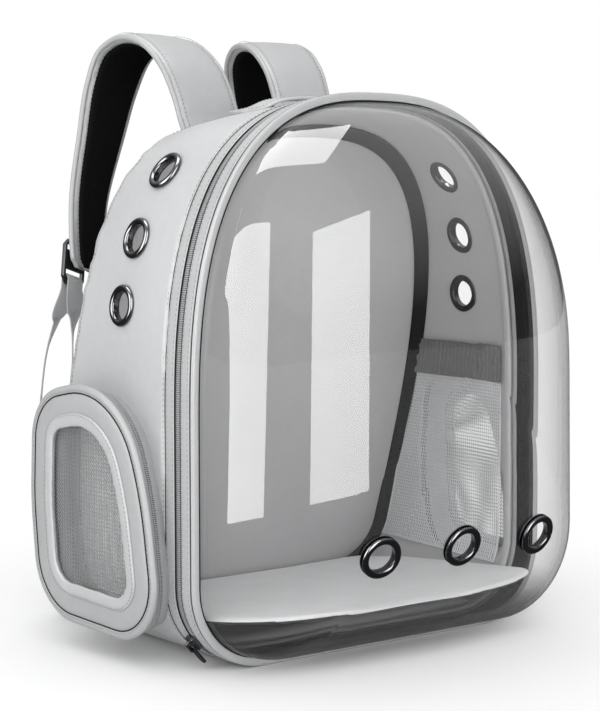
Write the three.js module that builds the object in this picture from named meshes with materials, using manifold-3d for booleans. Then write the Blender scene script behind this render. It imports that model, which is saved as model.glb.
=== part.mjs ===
// Bubble pet carrier backpack, in millimetres, +Z up.
// The clear bubble faces -Y and the wearer's back is at +Y. The origin is the middle of the
// flat underside. Sides are named as seen from the front: left is -X, right is +X.
import * as THREE from 'three';
import { mergeVertices } from 'three/addons/utils/BufferGeometryUtils.js';
import Module from 'manifold-3d';

const wasm = await Module();
wasm.setup();

// Front ring outline: a flat bottom, round lower corners, straight sides and a domed top
const FRONT_WIDTH = 331;
const FRONT_HEIGHT = 413.5;
const FRONT_CORNER = 62;
const FRONT_SIDE_TOP = 176;
const FRONT_ARCH_POWER = 2.62;

// Back outline, a little wider, lower and squarer than the front
const BACK_WIDTH = 340;
const BACK_HEIGHT = 397;
const BACK_CORNER = 47;
const BACK_SIDE_TOP = 100;
const BACK_ARCH_POWER = 3.7;

// Depth of the bag from the front plane to the back, at the floor, half way up and at the top
const FLOOR_DEPTH = 230;
const MIDDLE_DEPTH = 167;
const TOP_DEPTH = 129;

// Leatherette skin, its soft swell, and the running gap between sewn pieces
const WALL = 2;
const SIDE_BULGE = 1.5;
const BULGE_FROM_HEIGHT = 20;
const BULGE_FULL_HEIGHT = 62;
const GAP = 0.3;

// Bands that follow one another along the rim, from the front plane to the side wall
const DOOR_BAND_WIDTH = 10.4;
const ZIP_WIDTH = 8;
const ZIP_RECESS = 0.6;
const BORDER_WIDTH = 11.4;
const BAND_CROWN = 0.8;

// Light strip that holds the bubble's flange
const STRIP_WIDTH = 6.5;
const STRIP_THICKNESS = 2;

// Clear bubble
const BUBBLE_DEPTH = 115;
const BUBBLE_WALL = 2;
const BUBBLE_CENTRE_HEIGHT = 227;
const BUBBLE_POWER_SIDE = 2.12;
const BUBBLE_POWER_UP = 1.64;
const BUBBLE_POWER_DOWN = 2.28;
const FLANGE_THICKNESS = 1.7;
const FLANGE_INSET = 1.5;

// Dark bindings inside, along the seams
const BINDING_WIDTH = 8;
const BINDING_THICKNESS = 2.6;
const CORNER_BINDING = 7.6;

// Back panel and floor
const BACK_THICKNESS = 8;
const BACK_CROWN = 4;
const BASE_THICKNESS = 8;
const BASE_BEVEL = 20;

// Mat that lies on the floor and on the round lower corners of the ring
const MAT_HALF_WIDTH = 150;
const MAT_THICKNESS = 5;
const MAT_REACH = 44;
const MAT_CURL = 4;
const MAT_BACK_ROUND = 26;

// Eyelets
const EYELET_RADIUS = 15.5;
const EYELET_HOLE_RADIUS = 10.5;
const EYELET_BARREL_WALL = 1.3;
const EYELET_LIP = 2.6;
const WASHER_RADIUS = 14.2;
const WASHER_THICKNESS = 1.1;
const BUBBLE_EYELET_HEIGHT = 91;
const BUBBLE_EYELET_SPACING = 72.5;
const SIDE_EYELET_TOP = 354.5;
const SIDE_EYELET_SPACING = 48.7;
const SIDE_EYELET_DEPTH_SHARE = 0.6;

// Net panels on the inside of each side wall
const NET_TOP = 216;
const NET_THICKNESS = 1.2;
const NET_LAYER_GAP = 0.8;

// Side pockets
const POCKET_FRONT_Y = -90;
const POCKET_LENGTH = 149;
const POCKET_FLOOR = 18;
const POCKET_HEIGHT = 181;
const POCKET_FRONT_STANDOUT = 18.1;
const POCKET_REAR_STANDOUT = 32;
const POCKET_FLARE = 8;
const POCKET_WALL = 2;
const POCKET_RIM = 5;
const POCKET_WINDOW_INSET = 30;
const POCKET_TRIM_WIDTH = 9;
const POCKET_TRIM_THICKNESS = 1.5;
const POCKET_OPENING_INSET = 18;
const POCKET_ZIP_FROM = 0.42;
const POCKET_ZIP_TO = 0.62;
const POCKET_ZIP_RECESS = 0.9;
const MIN_WINDOW_RADIUS = 9;

// Shoulder straps
const STRAP_WIDTH = 60;
const STRAP_THICKNESS = 9;
const STRAP_EDGE = 3;
const STRAP_TOP = 473;
const STRAP_END = 278;
const STRAP_ROOT_Y = 8;
const STRAP_REACH = 143;
const STRAP_ROOT_X = 46;
const STRAP_END_X = 112;
const STRAP_TURN = 26;
const LINING_THICKNESS = 1.2;
const LINING_MARGIN = 7;

// Ladder-lock buckle and the webbing through it
const BUCKLE_WIDTH = 28;
const BUCKLE_HEIGHT = 38;
const BUCKLE_THICKNESS = 3.4;
const BUCKLE_SLOT_WIDTH = 22.4;
const BUCKLE_SLOT_HEIGHT = 8;
const BUCKLE_BAR = 4.6;
const BUCKLE_TOP_SLOT_HEIGHT = 5;
const BUCKLE_BELOW_TIP = 14;
const BUCKLE_STANDOFF = 0.9;
const BUCKLE_SIDESTEP = -7;
const WEBBING_WIDTH = 20;
const WEBBING_THICKNESS = 1.4;

// Patch that anchors the webbing at the lower back corner
const ANCHOR_WIDTH = 30;
const ANCHOR_THICKNESS = 3.4;
const ANCHOR_X = 142;
const ANCHOR_Z = 24;

// Carry handle on the top
const HANDLE_HALF_LENGTH = 66;
const HANDLE_WIDTH = 26;
const HANDLE_THICKNESS = 3;
const HANDLE_RISE = 8;
const HANDLE_Y = -27;

// Zip sliders and their pulls
const SLIDER_LENGTH = 11;
const SLIDER_WIDTH = 9;
const SLIDER_HEIGHT = 3.6;
const SLIDER_STANDOFF = 0.7;
const SLIDER_TURN = 50;
const PULL_LENGTH = 17.5;
const PULL_WIDTH = 7;
const PULL_THICKNESS = 1.5;
const POCKET_SLIDER_SCALE = 0.72;
const POCKET_SLIDER_HEIGHT = 135;

// Fineness of the facets
const CORNER_STEPS = 5;
const ARCH_STEPS = 8;
const EYELET_SIDES = 12;
const POCKET_ARC_STEPS = 4;
const STRAP_STEPS = 19;

const FRONT_Y = -FLOOR_DEPTH / 2;
const BACK_Y = FLOOR_DEPTH / 2;
const SEAM_DEPTH = DOOR_BAND_WIDTH + ZIP_WIDTH + BORDER_WIDTH + 3 * GAP + STRIP_THICKNESS;
const WALL_SHARES = [0, 0.25, 0.5, 0.75, 1];
const HALF_TURN = Math.PI / 2;
const V = (x, y, z) => new THREE.Vector3(x, y, z);

const frontForm = {
  width: FRONT_WIDTH, height: FRONT_HEIGHT, corner: FRONT_CORNER,
  sideTop: FRONT_SIDE_TOP, power: FRONT_ARCH_POWER,
};
const backForm = {
  width: BACK_WIDTH, height: BACK_HEIGHT, corner: BACK_CORNER,
  sideTop: BACK_SIDE_TOP, power: BACK_ARCH_POWER,
};

// Colours and finishes
const finish = (color, roughness, metalness = 0) =>
  () => new THREE.MeshStandardMaterial({ color, roughness, metalness });
const leatherette = finish(0xc3c5c5, 0.5);
const lightTrim = finish(0xe4e5e4, 0.5);
const panelGrey = finish(0x9b9b9b, 0.65);
const darkBinding = finish(0x2b2a2c, 0.6);
const zipGrey = finish(0x8d8f8f, 0.55);
const gunmetal = finish(0x55534f, 0.28, 1);
const netGrey = finish(0xa2a4a4, 0.75);
const matGrey = finish(0xd2d4d3, 0.8);
const blackCloth = finish(0x0c0c0d, 0.9);
const blackPlastic = finish(0x1b1b1d, 0.45);
const webbingGrey = finish(0xb9bbbb, 0.8);
const clearPlastic = () => new THREE.MeshStandardMaterial({
  color: 0xf2f4f5, roughness: 0.05, transparent: true, opacity: 0.3,
});

// Builds one closed body from points and triangles, with its faces turned outward.
function bodyFrom(points, triangles) {
  let volume = 0;
  for (const [a, b, c] of triangles) {
    volume += points[a].dot(V(0, 0, 0).crossVectors(points[b], points[c])) / 6;
  }
  const turned = volume < 0 ? triangles.map(([a, b, c]) => [a, c, b]) : triangles;
  const geometry = new THREE.BufferGeometry();
  const flat = new Float32Array(points.flatMap((point) => [point.x, point.y, point.z]));
  geometry.setAttribute('position', new THREE.BufferAttribute(flat, 3));
  geometry.setIndex(turned.flat());
  return geometry;
}

// Two triangles between neighbouring rings. The diagonal turns over half way round, so that a
// ring's left half is the mirror image of its right half.
function quad(here, there, i, count) {
  const j = (i + 1) % count;
  if (i < count / 2) return [[here + i, here + j, there + j], [here + i, there + j, there + i]];
  return [[here + i, here + j, there + i], [here + j, there + j, there + i]];
}

// Lofts through rings of equal count. Without end points the last ring joins the first one.
function loft(rings, startPoint, endPoint) {
  const count = rings[0].length;
  const points = rings.flat();
  const triangles = [];
  const spans = startPoint ? rings.length - 1 : rings.length;
  for (let k = 0; k < spans; k++) {
    const here = k * count;
    const there = ((k + 1) % rings.length) * count;
    for (let i = 0; i < count; i++) triangles.push(...quad(here, there, i, count));
  }
  if (startPoint) {
    const first = points.push(startPoint) - 1;
    const last = points.push(endPoint) - 1;
    const end = (rings.length - 1) * count;
    for (let i = 0; i < count; i++) {
      const j = (i + 1) % count;
      triangles.push([first, j, i], [last, end + i, end + j]);
    }
  }
  return bodyFrom(points, triangles);
}

// Closes two equal grids of points, one on each face of a sheet, into one body.
function sheetBetween(outer, inner) {
  const rows = outer.length;
  const columns = outer[0].length;
  const points = [...outer.flat(), ...inner.flat()];
  const half = rows * columns;
  const at = (row, column) => row * columns + column;
  const triangles = [];
  for (let r = 0; r < rows - 1; r++) {
    for (let c = 0; c < columns - 1; c++) {
      const [p, q, s, t] = [at(r, c), at(r, c + 1), at(r + 1, c + 1), at(r + 1, c)];
      triangles.push([p, q, s], [p, s, t]);
      triangles.push([half + p, half + s, half + q], [half + p, half + t, half + s]);
    }
  }
  const rim = [];
  for (let c = 0; c < columns - 1; c++) rim.push(at(0, c));
  for (let r = 0; r < rows - 1; r++) rim.push(at(r, columns - 1));
  for (let c = columns - 1; c > 0; c--) rim.push(at(rows - 1, c));
  for (let r = rows - 1; r > 0; r--) rim.push(at(r, 0));
  rim.forEach((p, k) => {
    const q = rim[(k + 1) % rim.length];
    triangles.push([p, half + p, half + q], [p, half + q, q]);
  });
  return bodyFrom(points, triangles);
}

function middleOf(ring) {
  return ring.reduce((sum, point) => sum.add(point), V(0, 0, 0)).divideScalar(ring.length);
}

// Booleans
function solidOf(geometry) {
  const bare = geometry.clone();
  bare.deleteAttribute('normal');
  bare.deleteAttribute('uv');
  const merged = mergeVertices(bare, 1e-4);
  return new wasm.Manifold(new wasm.Mesh({
    numProp: 3,
    vertProperties: new Float32Array(merged.attributes.position.array),
    triVerts: new Uint32Array(merged.index.array),
  }));
}

function geometryOf(solid) {
  const mesh = solid.getMesh();
  const geometry = new THREE.BufferGeometry();
  geometry.setAttribute('position', new THREE.BufferAttribute(mesh.vertProperties, 3));
  geometry.setIndex(Array.from(mesh.triVerts));
  return geometry;
}

function cut(geometry, tools) {
  const left = tools.reduce((solid, tool) => solid.subtract(solidOf(tool)), solidOf(geometry));
  return geometryOf(left);
}

function join(geometries) {
  return geometryOf(geometries.map(solidOf).reduce((all, solid) => all.add(solid)));
}

// Swaps left for right and keeps the faces turned outward.
function mirrored(geometry) {
  const copy = geometry.clone();
  copy.scale(-1, 1, 1);
  const index = Array.from(copy.index.array);
  for (let k = 0; k < index.length; k += 3) {
    [index[k + 1], index[k + 2]] = [index[k + 2], index[k + 1]];
  }
  copy.setIndex(index);
  return copy;
}

// Outline of a form in the XZ plane, moved inward by an inset, counted from the bottom middle.
function outline(form, inset) {
  const half = form.width / 2 - inset;
  const radius = form.corner - inset;
  const rise = form.height - inset - form.sideTop;
  const right = [[0, inset]];
  for (let k = 0; k <= CORNER_STEPS; k++) {
    const turn = (k / CORNER_STEPS) * HALF_TURN;
    const x = form.width / 2 - form.corner + radius * Math.sin(turn);
    right.push([x, form.corner - radius * Math.cos(turn)]);
  }
  right.push([half, form.sideTop]);
  const netShare = (NET_TOP - form.sideTop) / rise;
  const first = Math.asin(netShare ** (form.power / 2));
  for (let k = 0; k <= ARCH_STEPS; k++) {
    const turn = first + (HALF_TURN - first) * (k / ARCH_STEPS);
    const x = half * Math.max(Math.cos(turn), 0) ** (2 / form.power);
    const z = form.sideTop + rise * Math.sin(turn) ** (2 / form.power);
    right.push([k === ARCH_STEPS ? 0 : x, z]);
  }
  const left = right.slice(1, -1).reverse().map(([x, z]) => [-x, z]);
  return [...right, ...left];
}

const NET_TOP_INDEX = CORNER_STEPS + 3;

// Half width of a form at a height
function halfWidthAt(form, z) {
  if (z < form.corner) {
    const drop = form.corner - z;
    return form.width / 2 - form.corner + Math.sqrt(form.corner ** 2 - drop ** 2);
  }
  if (z < form.sideTop) return form.width / 2;
  const share = Math.min((z - form.sideTop) / (form.height - form.sideTop), 1);
  return (form.width / 2) * (1 - share ** form.power) ** (1 / form.power);
}

// Depth of the curved, leaning back at a height, through its three stated depths
function depthAt(z) {
  const share = z / BACK_HEIGHT;
  const floorPart = FLOOR_DEPTH * (1 - share) * (1 - 2 * share);
  const middlePart = MIDDLE_DEPTH * 4 * share * (1 - share);
  const topPart = TOP_DEPTH * share * (2 * share - 1);
  return floorPart + middlePart + topPart;
}

// How far the side wall swells between the ring seam and the back seam, straight between rings
function swell(height, depth, length) {
  const along = Math.min(Math.max((depth - SEAM_DEPTH) / (length - SEAM_DEPTH), 0), 1);
  const ramp = (height - BULGE_FROM_HEIGHT) / (BULGE_FULL_HEIGHT - BULGE_FROM_HEIGHT);
  const lift = Math.min(Math.max(ramp, 0), 1);
  const last = WALL_SHARES.length - 1;
  const k = Math.min(Math.floor(along * last), last - 1);
  const arch = (n) => Math.sin(Math.PI * WALL_SHARES[n]);
  return SIDE_BULGE * lift * THREE.MathUtils.lerp(arch(k), arch(k + 1), along * last - k);
}

const frontRim = outline(frontForm, 0);
const backRim = outline(backForm, 0);
const rimLength = backRim.map(([, z]) => depthAt(z));

// Ring of the bag's skin at a depth for each point of the outline, moved inward by an inset
function skinRing(depthOf, inset) {
  const front = outline(frontForm, inset);
  const back = outline(backForm, inset);
  return front.map(([x, z], i) => {
    const depth = depthOf(i, back[i][1]);
    const share = depth / rimLength[i];
    const px = x + (back[i][0] - x) * share;
    const pz = z + (back[i][1] - z) * share;
    const outX = frontRim[i][0];
    const outZ = frontRim[i][1] - FRONT_HEIGHT / 2;
    const puff = swell(frontRim[i][1], depth, rimLength[i]) / Math.hypot(outX, outZ);
    return V(px + outX * puff, FRONT_Y + depth, pz + outZ * puff);
  });
}

const fromFront = (depth) => () => depth;
const fromBack = (depth) => (i, z) => depthAt(z) - depth;
const alongWall = (share) => (i) => SEAM_DEPTH + (rimLength[i] - SEAM_DEPTH) * share;

// A band sewn round the whole rim, from a section of depths and insets
function band(section, place) {
  return loft(section.map(([depth, inset]) => skinRing(place(depth), inset)));
}

// Flat-bottomed band with a softly crowned outer face, between two depths
function crownedBand(from, to, recess) {
  const crown = BAND_CROWN;
  const edge = (to - from) * 0.25;
  return band([
    [from, recess + crown], [from + edge, recess], [to - edge, recess], [to, recess + crown],
    [to, recess + crown + WALL], [from, recess + crown + WALL],
  ], fromFront);
}

// The bag's whole outer space, grown by a gap, which pieces outside it are trimmed to
function carrierSpace(growth) {
  const rings = WALL_SHARES.map((share) => skinRing(alongWall(share), -growth));
  rings.unshift(skinRing(fromFront(0), -growth));
  const rim = rings[rings.length - 1].map((point) => point.clone().add(V(0, growth, 0)));
  rings[rings.length - 1] = rim;
  for (const scale of [0.8, 0.5, 0.25]) rings.push(backFaceRing(scale, -growth, growth));
  return loft(rings, middleOf(rings[0]), backFacePoint(0, BACK_HEIGHT / 2, 1, growth));
}

// Point on the padded outer face of the back panel
function backFacePoint(x, z, pad, offset) {
  return V(x, FRONT_Y + depthAt(z) + BACK_CROWN * pad + offset, z);
}

function backFaceRing(scale, inset, offset) {
  const middle = BACK_HEIGHT / 2;
  return outline(backForm, inset).map(([x, z]) => (
    backFacePoint(x * scale, middle + (z - middle) * scale, 1 - scale ** 2, offset)
  ));
}

// Clear bubble: rings that shrink towards its middle as they come forward
function domeRing(turn, inset, depth) {
  return outline(frontForm, inset).map(([x, z]) => {
    const rise = z - BUBBLE_CENTRE_HEIGHT;
    const steep = rise ** 2 / (x ** 2 + rise ** 2);
    const upDown = rise > 0 ? BUBBLE_POWER_UP : BUBBLE_POWER_DOWN;
    const power = BUBBLE_POWER_SIDE * (1 - steep) + upDown * steep;
    const scale = Math.max(Math.cos(turn), 0) ** (2 / power);
    const forward = depth * Math.sin(turn) ** (2 / power);
    return V(x * scale, FRONT_Y + GAP - forward, BUBBLE_CENTRE_HEIGHT + rise * scale);
  });
}

// Depth of the bubble's outer face in front of the ring at a place, by halving the turn
function domePoint(x, z, inset, depth) {
  const rise = z - BUBBLE_CENTRE_HEIGHT;
  const steep = rise ** 2 / (x ** 2 + rise ** 2);
  const upDown = rise > 0 ? BUBBLE_POWER_UP : BUBBLE_POWER_DOWN;
  const power = BUBBLE_POWER_SIDE * (1 - steep) + upDown * steep;
  let near = 0;
  let far = 1;
  for (let k = 0; k < 30; k++) {
    const middle = (near + far) / 2;
    const edgeZ = BUBBLE_CENTRE_HEIGHT + rise / middle;
    const inside = edgeZ > inset && Math.abs(x / middle) < insetHalfWidth(edgeZ, inset);
    if (inside) far = middle;
    else near = middle;
  }
  const forward = depth * (1 - far ** power) ** (1 / power);
  return V(x, FRONT_Y + GAP - forward, z);
}

function insetHalfWidth(z, inset) {
  const form = {
    width: FRONT_WIDTH - 2 * inset, height: FRONT_HEIGHT - 2 * inset,
    corner: FRONT_CORNER - inset, sideTop: FRONT_SIDE_TOP - inset, power: FRONT_ARCH_POWER,
  };
  return z - inset >= form.height ? 0 : halfWidthAt(form, z - inset);
}

const carrier = new THREE.Group();

function addPart(name, geometry, material) {
  const mesh = new THREE.Mesh(geometry, material());
  mesh.name = name;
  carrier.add(mesh);
  return mesh;
}

// Turns a piece made about +Y so that its Y points along a direction, and moves it to a place.
function placed(geometry, place, direction) {
  const turn = new THREE.Quaternion().setFromUnitVectors(V(0, 1, 0), direction.clone().normalize());
  const copy = geometry.clone();
  copy.applyQuaternion(turn);
  copy.translate(place.x, place.y, place.z);
  return copy;
}

// Point and outward direction on the side wall
function sidePoint(z, share, side) {
  const at = (height, part) => {
    const length = depthAt(height);
    const depth = length * part;
    const front = halfWidthAt(frontForm, height);
    const x = front + (halfWidthAt(backForm, height) - front) * part;
    return V(side * (x + swell(height, depth, length)), FRONT_Y + depth, height);
  };
  const step = 0.02;
  const alongDepth = at(z, share + step).sub(at(z, share - step));
  const alongHeight = at(z + 10, share).sub(at(z - 10, share));
  const outward = alongDepth.cross(alongHeight).normalize();
  if (outward.x * side < 0) outward.negate();
  return { place: at(z, share), outward };
}

// Eyelet: a rolled lip outside, a barrel through the wall and a flat washer inside. The lip
// starts just above the wall's highest point under it, the washer just below its lowest one.
function eyeletShape({ top, bottom }) {
  const barrel = EYELET_HOLE_RADIUS + EYELET_BARREL_WALL;
  const base = top + GAP;
  const under = bottom - GAP;
  const profile = [
    [EYELET_HOLE_RADIUS, base + EYELET_LIP * 0.6], [EYELET_HOLE_RADIUS + 2, base + EYELET_LIP],
    [EYELET_RADIUS, base + EYELET_LIP * 0.2], [barrel, base],
    [barrel, under], [WASHER_RADIUS, under], [WASHER_RADIUS, under - WASHER_THICKNESS],
    [EYELET_HOLE_RADIUS, under - WASHER_THICKNESS],
  ];
  const closed = [...profile, profile[0]].map(([r, h]) => new THREE.Vector2(r, h));
  return outward(new THREE.LatheGeometry(closed, EYELET_SIDES));
}

// Finds how far a shell's outer face rises and its inner face drops around an eyelet's middle.
function seatedSpot(shell, inside, direction, name) {
  const mesh = new THREE.Mesh(shell, new THREE.MeshBasicMaterial({ side: THREE.DoubleSide }));
  const hits = (from) => new THREE.Raycaster(from, direction).intersectObject(mesh);
  const first = hits(inside);
  const place = first[1].point;
  const side = V(0, 0, 1).cross(direction).normalize();
  const up = direction.clone().cross(side);
  let top = 0;
  let bottom = first[0].point.clone().sub(place).dot(direction);
  for (let k = 0; k < 3 * EYELET_SIDES; k++) {
    const turn = (k / (3 * EYELET_SIDES)) * 4 * HALF_TURN;
    const offset = side.clone().multiplyScalar(Math.cos(turn)).addScaledVector(up, Math.sin(turn));
    for (const radius of [EYELET_HOLE_RADIUS, EYELET_RADIUS]) {
      const [inner, outer] = hits(inside.clone().addScaledVector(offset, radius));
      top = Math.max(top, outer.point.clone().sub(place).dot(direction));
      bottom = Math.min(bottom, inner.point.clone().sub(place).dot(direction));
    }
  }
  return { name, place, direction, top, bottom };
}

function eyeletHole({ place, direction }) {
  const radius = EYELET_HOLE_RADIUS + EYELET_BARREL_WALL + GAP;
  const drill = new THREE.CylinderGeometry(radius, radius, 4 * EYELET_RADIUS, EYELET_SIDES);
  return placed(outward(drill), place, direction);
}

// Merges a closed three.js shape and turns its faces outward.
function outward(geometry) {
  const bare = geometry.clone();
  bare.deleteAttribute('normal');
  bare.deleteAttribute('uv');
  const merged = mergeVertices(bare, 1e-3);
  const place = merged.attributes.position;
  const pointAt = (_, k) => V(place.getX(k), place.getY(k), place.getZ(k));
  const points = Array.from({ length: place.count }, pointAt);
  const index = Array.from(merged.index.array);
  const triangles = [];
  for (let k = 0; k < index.length; k += 3) {
    const [a, b, c] = index.slice(k, k + 3);
    if (a !== b && b !== c && a !== c) triangles.push([a, b, c]);
  }
  return bodyFrom(points, triangles);
}

// Three eyelets in a column on each side, and three in a row low on the bubble
function sideEyeletSpots() {
  const shell = sideWallShell();
  return [-1, 1].flatMap((side) => [1, 2, 3].map((n) => {
    const height = SIDE_EYELET_TOP - (n - 1) * SIDE_EYELET_SPACING;
    const { place, outward: direction } = sidePoint(height, SIDE_EYELET_DEPTH_SHARE, side);
    const inside = place.clone().addScaledVector(direction, -30);
    return seatedSpot(shell, inside, direction, `${sideName(side)}_${n}`);
  }));
}

function bubbleEyeletSpots() {
  const shell = bubbleShell();
  const at = (x, z) => domePoint(x, z, STRIP_WIDTH + GAP, BUBBLE_DEPTH);
  return [-1, 0, 1].map((k) => {
    const x = k * BUBBLE_EYELET_SPACING;
    const z = BUBBLE_EYELET_HEIGHT;
    const across = at(x + 5, z).sub(at(x - 5, z));
    const upward = at(x, z + 5).sub(at(x, z - 5));
    const direction = across.cross(upward).normalize();
    if (direction.y > 0) direction.negate();
    const inside = at(x, z).addScaledVector(direction, -30);
    return seatedSpot(shell, inside, direction, ['left', 'middle', 'right'][k + 1]);
  });
}

const sideName = (side) => (side < 0 ? 'left' : 'right');

// Side pocket outline in the YZ plane: corners as shares of the pocket's length and height
const pocketCorners = [
  { along: -0.079, up: -0.011, round: 0.3 },
  { along: 0.939, up: 0.021, round: 0.34 },
  { along: 1, up: 0.502, round: 1.5 },
  { along: 0.973, up: 0.946, round: 0.29 },
  { along: 0.25, up: 1.067, round: 0.495 },
  { along: 0.029, up: 0.585, round: 1.7 },
];

// Rounds a polygon's corners, after moving its sides inward by an inset.
function roundedOutline(inset) {
  const raw = pocketCorners.map(({ along, up, round }) => {
    const y = POCKET_FRONT_Y + along * POCKET_LENGTH;
    const z = POCKET_FLOOR + up * POCKET_HEIGHT;
    return { point: new THREE.Vector2(y, z), radius: round * POCKET_LENGTH };
  });
  const count = raw.length;
  const sides = raw.map(({ point }, k) => {
    const run = raw[(k + 1) % count].point.clone().sub(point).normalize();
    const inward = new THREE.Vector2(-run.y, run.x);
    return { start: point.clone().addScaledVector(inward, inset), run };
  });
  const corners = raw.map(({ radius }, k) => {
    const before = sides[(k + count - 1) % count];
    const after = sides[k];
    const offset = after.start.clone().sub(before.start);
    const span = offset.cross(after.run) / before.run.cross(after.run);
    const point = before.start.clone().addScaledVector(before.run, span);
    const kept = Math.max(radius - inset, MIN_WINDOW_RADIUS);
    return { point, radius: kept, before: before.run, after: after.run };
  });
  const points = [];
  for (const { point, radius, before, after } of corners) {
    const bend = Math.acos(Math.min(Math.max(before.dot(after), -1), 1));
    const tangent = radius * Math.tan(bend / 2);
    const start = point.clone().addScaledVector(before, -tangent);
    const centre = start.clone().addScaledVector(new THREE.Vector2(-before.y, before.x), radius);
    for (let k = 0; k <= POCKET_ARC_STEPS; k++) {
      const spoke = start.clone().sub(centre);
      spoke.rotateAround(new THREE.Vector2(), bend * (k / POCKET_ARC_STEPS));
      points.push(centre.clone().add(spoke));
    }
  }
  return points;
}

function pocketFaceX(y) {
  const front = FRONT_WIDTH / 2 + POCKET_FRONT_STANDOUT;
  const rear = BACK_WIDTH / 2 + POCKET_REAR_STANDOUT;
  return front + (rear - front) * ((y - POCKET_FRONT_Y) / POCKET_LENGTH);
}

function wallX(y, z) {
  const share = (y - FRONT_Y) / depthAt(z);
  const front = halfWidthAt(frontForm, z);
  return front + (halfWidthAt(backForm, z) - front) * Math.min(share, 1);
}

// Ring on the right pocket at a share of the way from the side wall to the outer face
function pocketRing(inset, share) {
  return roundedOutline(inset).map(({ x: y, y: z }) => {
    const wall = wallX(y, z);
    return V(wall + (pocketFaceX(y) - wall) * share, y, z);
  });
}

// Ring on the right pocket at a depth in from the outer face
function pocketFaceRing(inset, depth) {
  return roundedOutline(inset).map(({ x: y, y: z }) => V(pocketFaceX(y) - depth, y, z));
}

const pocketInsetAt = (share) => POCKET_FLARE * (1 - share);

function pocketPieces() {
  const space = carrierSpace(GAP);
  const gapShare = 0.015;
  const outerAt = (share, recess) => pocketRing(pocketInsetAt(share) + recess, share);
  const innerAt = (share) => pocketRing(pocketInsetAt(share) + POCKET_WALL, share);
  const zipFrom = POCKET_ZIP_FROM + gapShare;
  const zipTo = POCKET_ZIP_TO - gapShare;
  const wall = cut(loft([
    outerAt(-0.3, 0), outerAt(POCKET_ZIP_FROM, 0), innerAt(POCKET_ZIP_FROM), innerAt(-0.3),
  ]), [space]);
  const zip = loft([
    outerAt(zipFrom, POCKET_ZIP_RECESS), outerAt(zipTo, POCKET_ZIP_RECESS),
    outerAt(zipTo, POCKET_ZIP_RECESS + POCKET_WALL), outerAt(zipFrom, POCKET_ZIP_RECESS + POCKET_WALL),
  ]);
  const face = loft([
    outerAt(POCKET_ZIP_TO, 0), pocketFaceRing(0, 2.4), pocketFaceRing(1, 0.7),
    pocketFaceRing(POCKET_RIM, 0), pocketFaceRing(POCKET_WINDOW_INSET, 0),
    pocketFaceRing(POCKET_WINDOW_INSET, POCKET_WALL), pocketFaceRing(POCKET_WALL + 1, POCKET_WALL),
    innerAt(POCKET_ZIP_TO),
  ]);
  const trimEdge = POCKET_WINDOW_INSET + 1;
  const trim = loft([
    pocketFaceRing(trimEdge - POCKET_TRIM_WIDTH, -GAP),
    pocketFaceRing(trimEdge - POCKET_TRIM_WIDTH + 1, -GAP - POCKET_TRIM_THICKNESS),
    pocketFaceRing(trimEdge, -GAP - POCKET_TRIM_THICKNESS), pocketFaceRing(trimEdge, -GAP),
  ]);
  const netInset = POCKET_WINDOW_INSET - 6;
  const netFront = pocketFaceRing(netInset, POCKET_WALL + GAP);
  const netBack = pocketFaceRing(netInset, POCKET_WALL + GAP + NET_THICKNESS);
  const net = loft([netFront, netBack], middleOf(netFront), middleOf(netBack));
  return { wall, zip, face, trim, net };
}

// Prism through the side wall behind the pocket, where the pocket opens to the cabin
function pocketOpeningTool() {
  const ring = (x) => roundedOutline(POCKET_OPENING_INSET).map(({ x: y, y: z }) => V(x, y, z));
  const near = ring(BACK_WIDTH / 2 - 40);
  const far = ring(BACK_WIDTH / 2 + 20);
  return loft([near, far], middleOf(near), middleOf(far));
}

// Sweeps a flat section along stations, each with its middle, sideways and face directions.
function sweptBand(stations, section) {
  const rings = stations.map(({ middle, across, face, width, thickness }) => section.map(([a, f]) => (
    middle.clone().addScaledVector(across, a(width)).addScaledVector(face, f * thickness)
  )));
  return loft(rings, middleOf(rings[0]), middleOf(rings[rings.length - 1]));
}

const plainSection = [
  [(w) => -w / 2, -0.5], [(w) => w / 2, -0.5], [(w) => w / 2, 0.5], [(w) => -w / 2, 0.5],
];
const paddedSection = [
  [(w) => -w / 2 + STRAP_EDGE, -0.5], [(w) => w / 2 - STRAP_EDGE, -0.5],
  [(w) => w / 2, -0.15], [(w) => w / 2, 0.2],
  [(w) => w / 2 - STRAP_EDGE, 0.5], [(w) => -w / 2 + STRAP_EDGE, 0.5],
  [(w) => -w / 2, 0.2], [(w) => -w / 2, -0.15],
];

// Stations along a smooth path through rows of points with a width and a sideways turn
function stationsAlong(rows, steps, thickness) {
  const path = new THREE.CatmullRomCurve3(rows.map((row) => row.point), false, 'centripetal');
  const knots = rows.length - 1;
  const blend = (t, key) => {
    const k = Math.min(Math.floor(t * knots), knots - 1);
    return THREE.MathUtils.lerp(rows[k][key], rows[k + 1][key], t * knots - k);
  };
  return Array.from({ length: steps + 1 }, (_, n) => {
    const t = n / steps;
    const tangent = path.getTangent(t);
    const turn = THREE.MathUtils.degToRad(blend(t, 'turn'));
    const across = V(Math.cos(turn), Math.sin(turn), 0);
    across.addScaledVector(tangent, -across.dot(tangent)).normalize();
    const face = V(0, 0, 0).crossVectors(across, tangent).normalize();
    return { middle: path.getPoint(t), across, face, tangent, width: blend(t, 'width'), thickness };
  });
}

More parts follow.
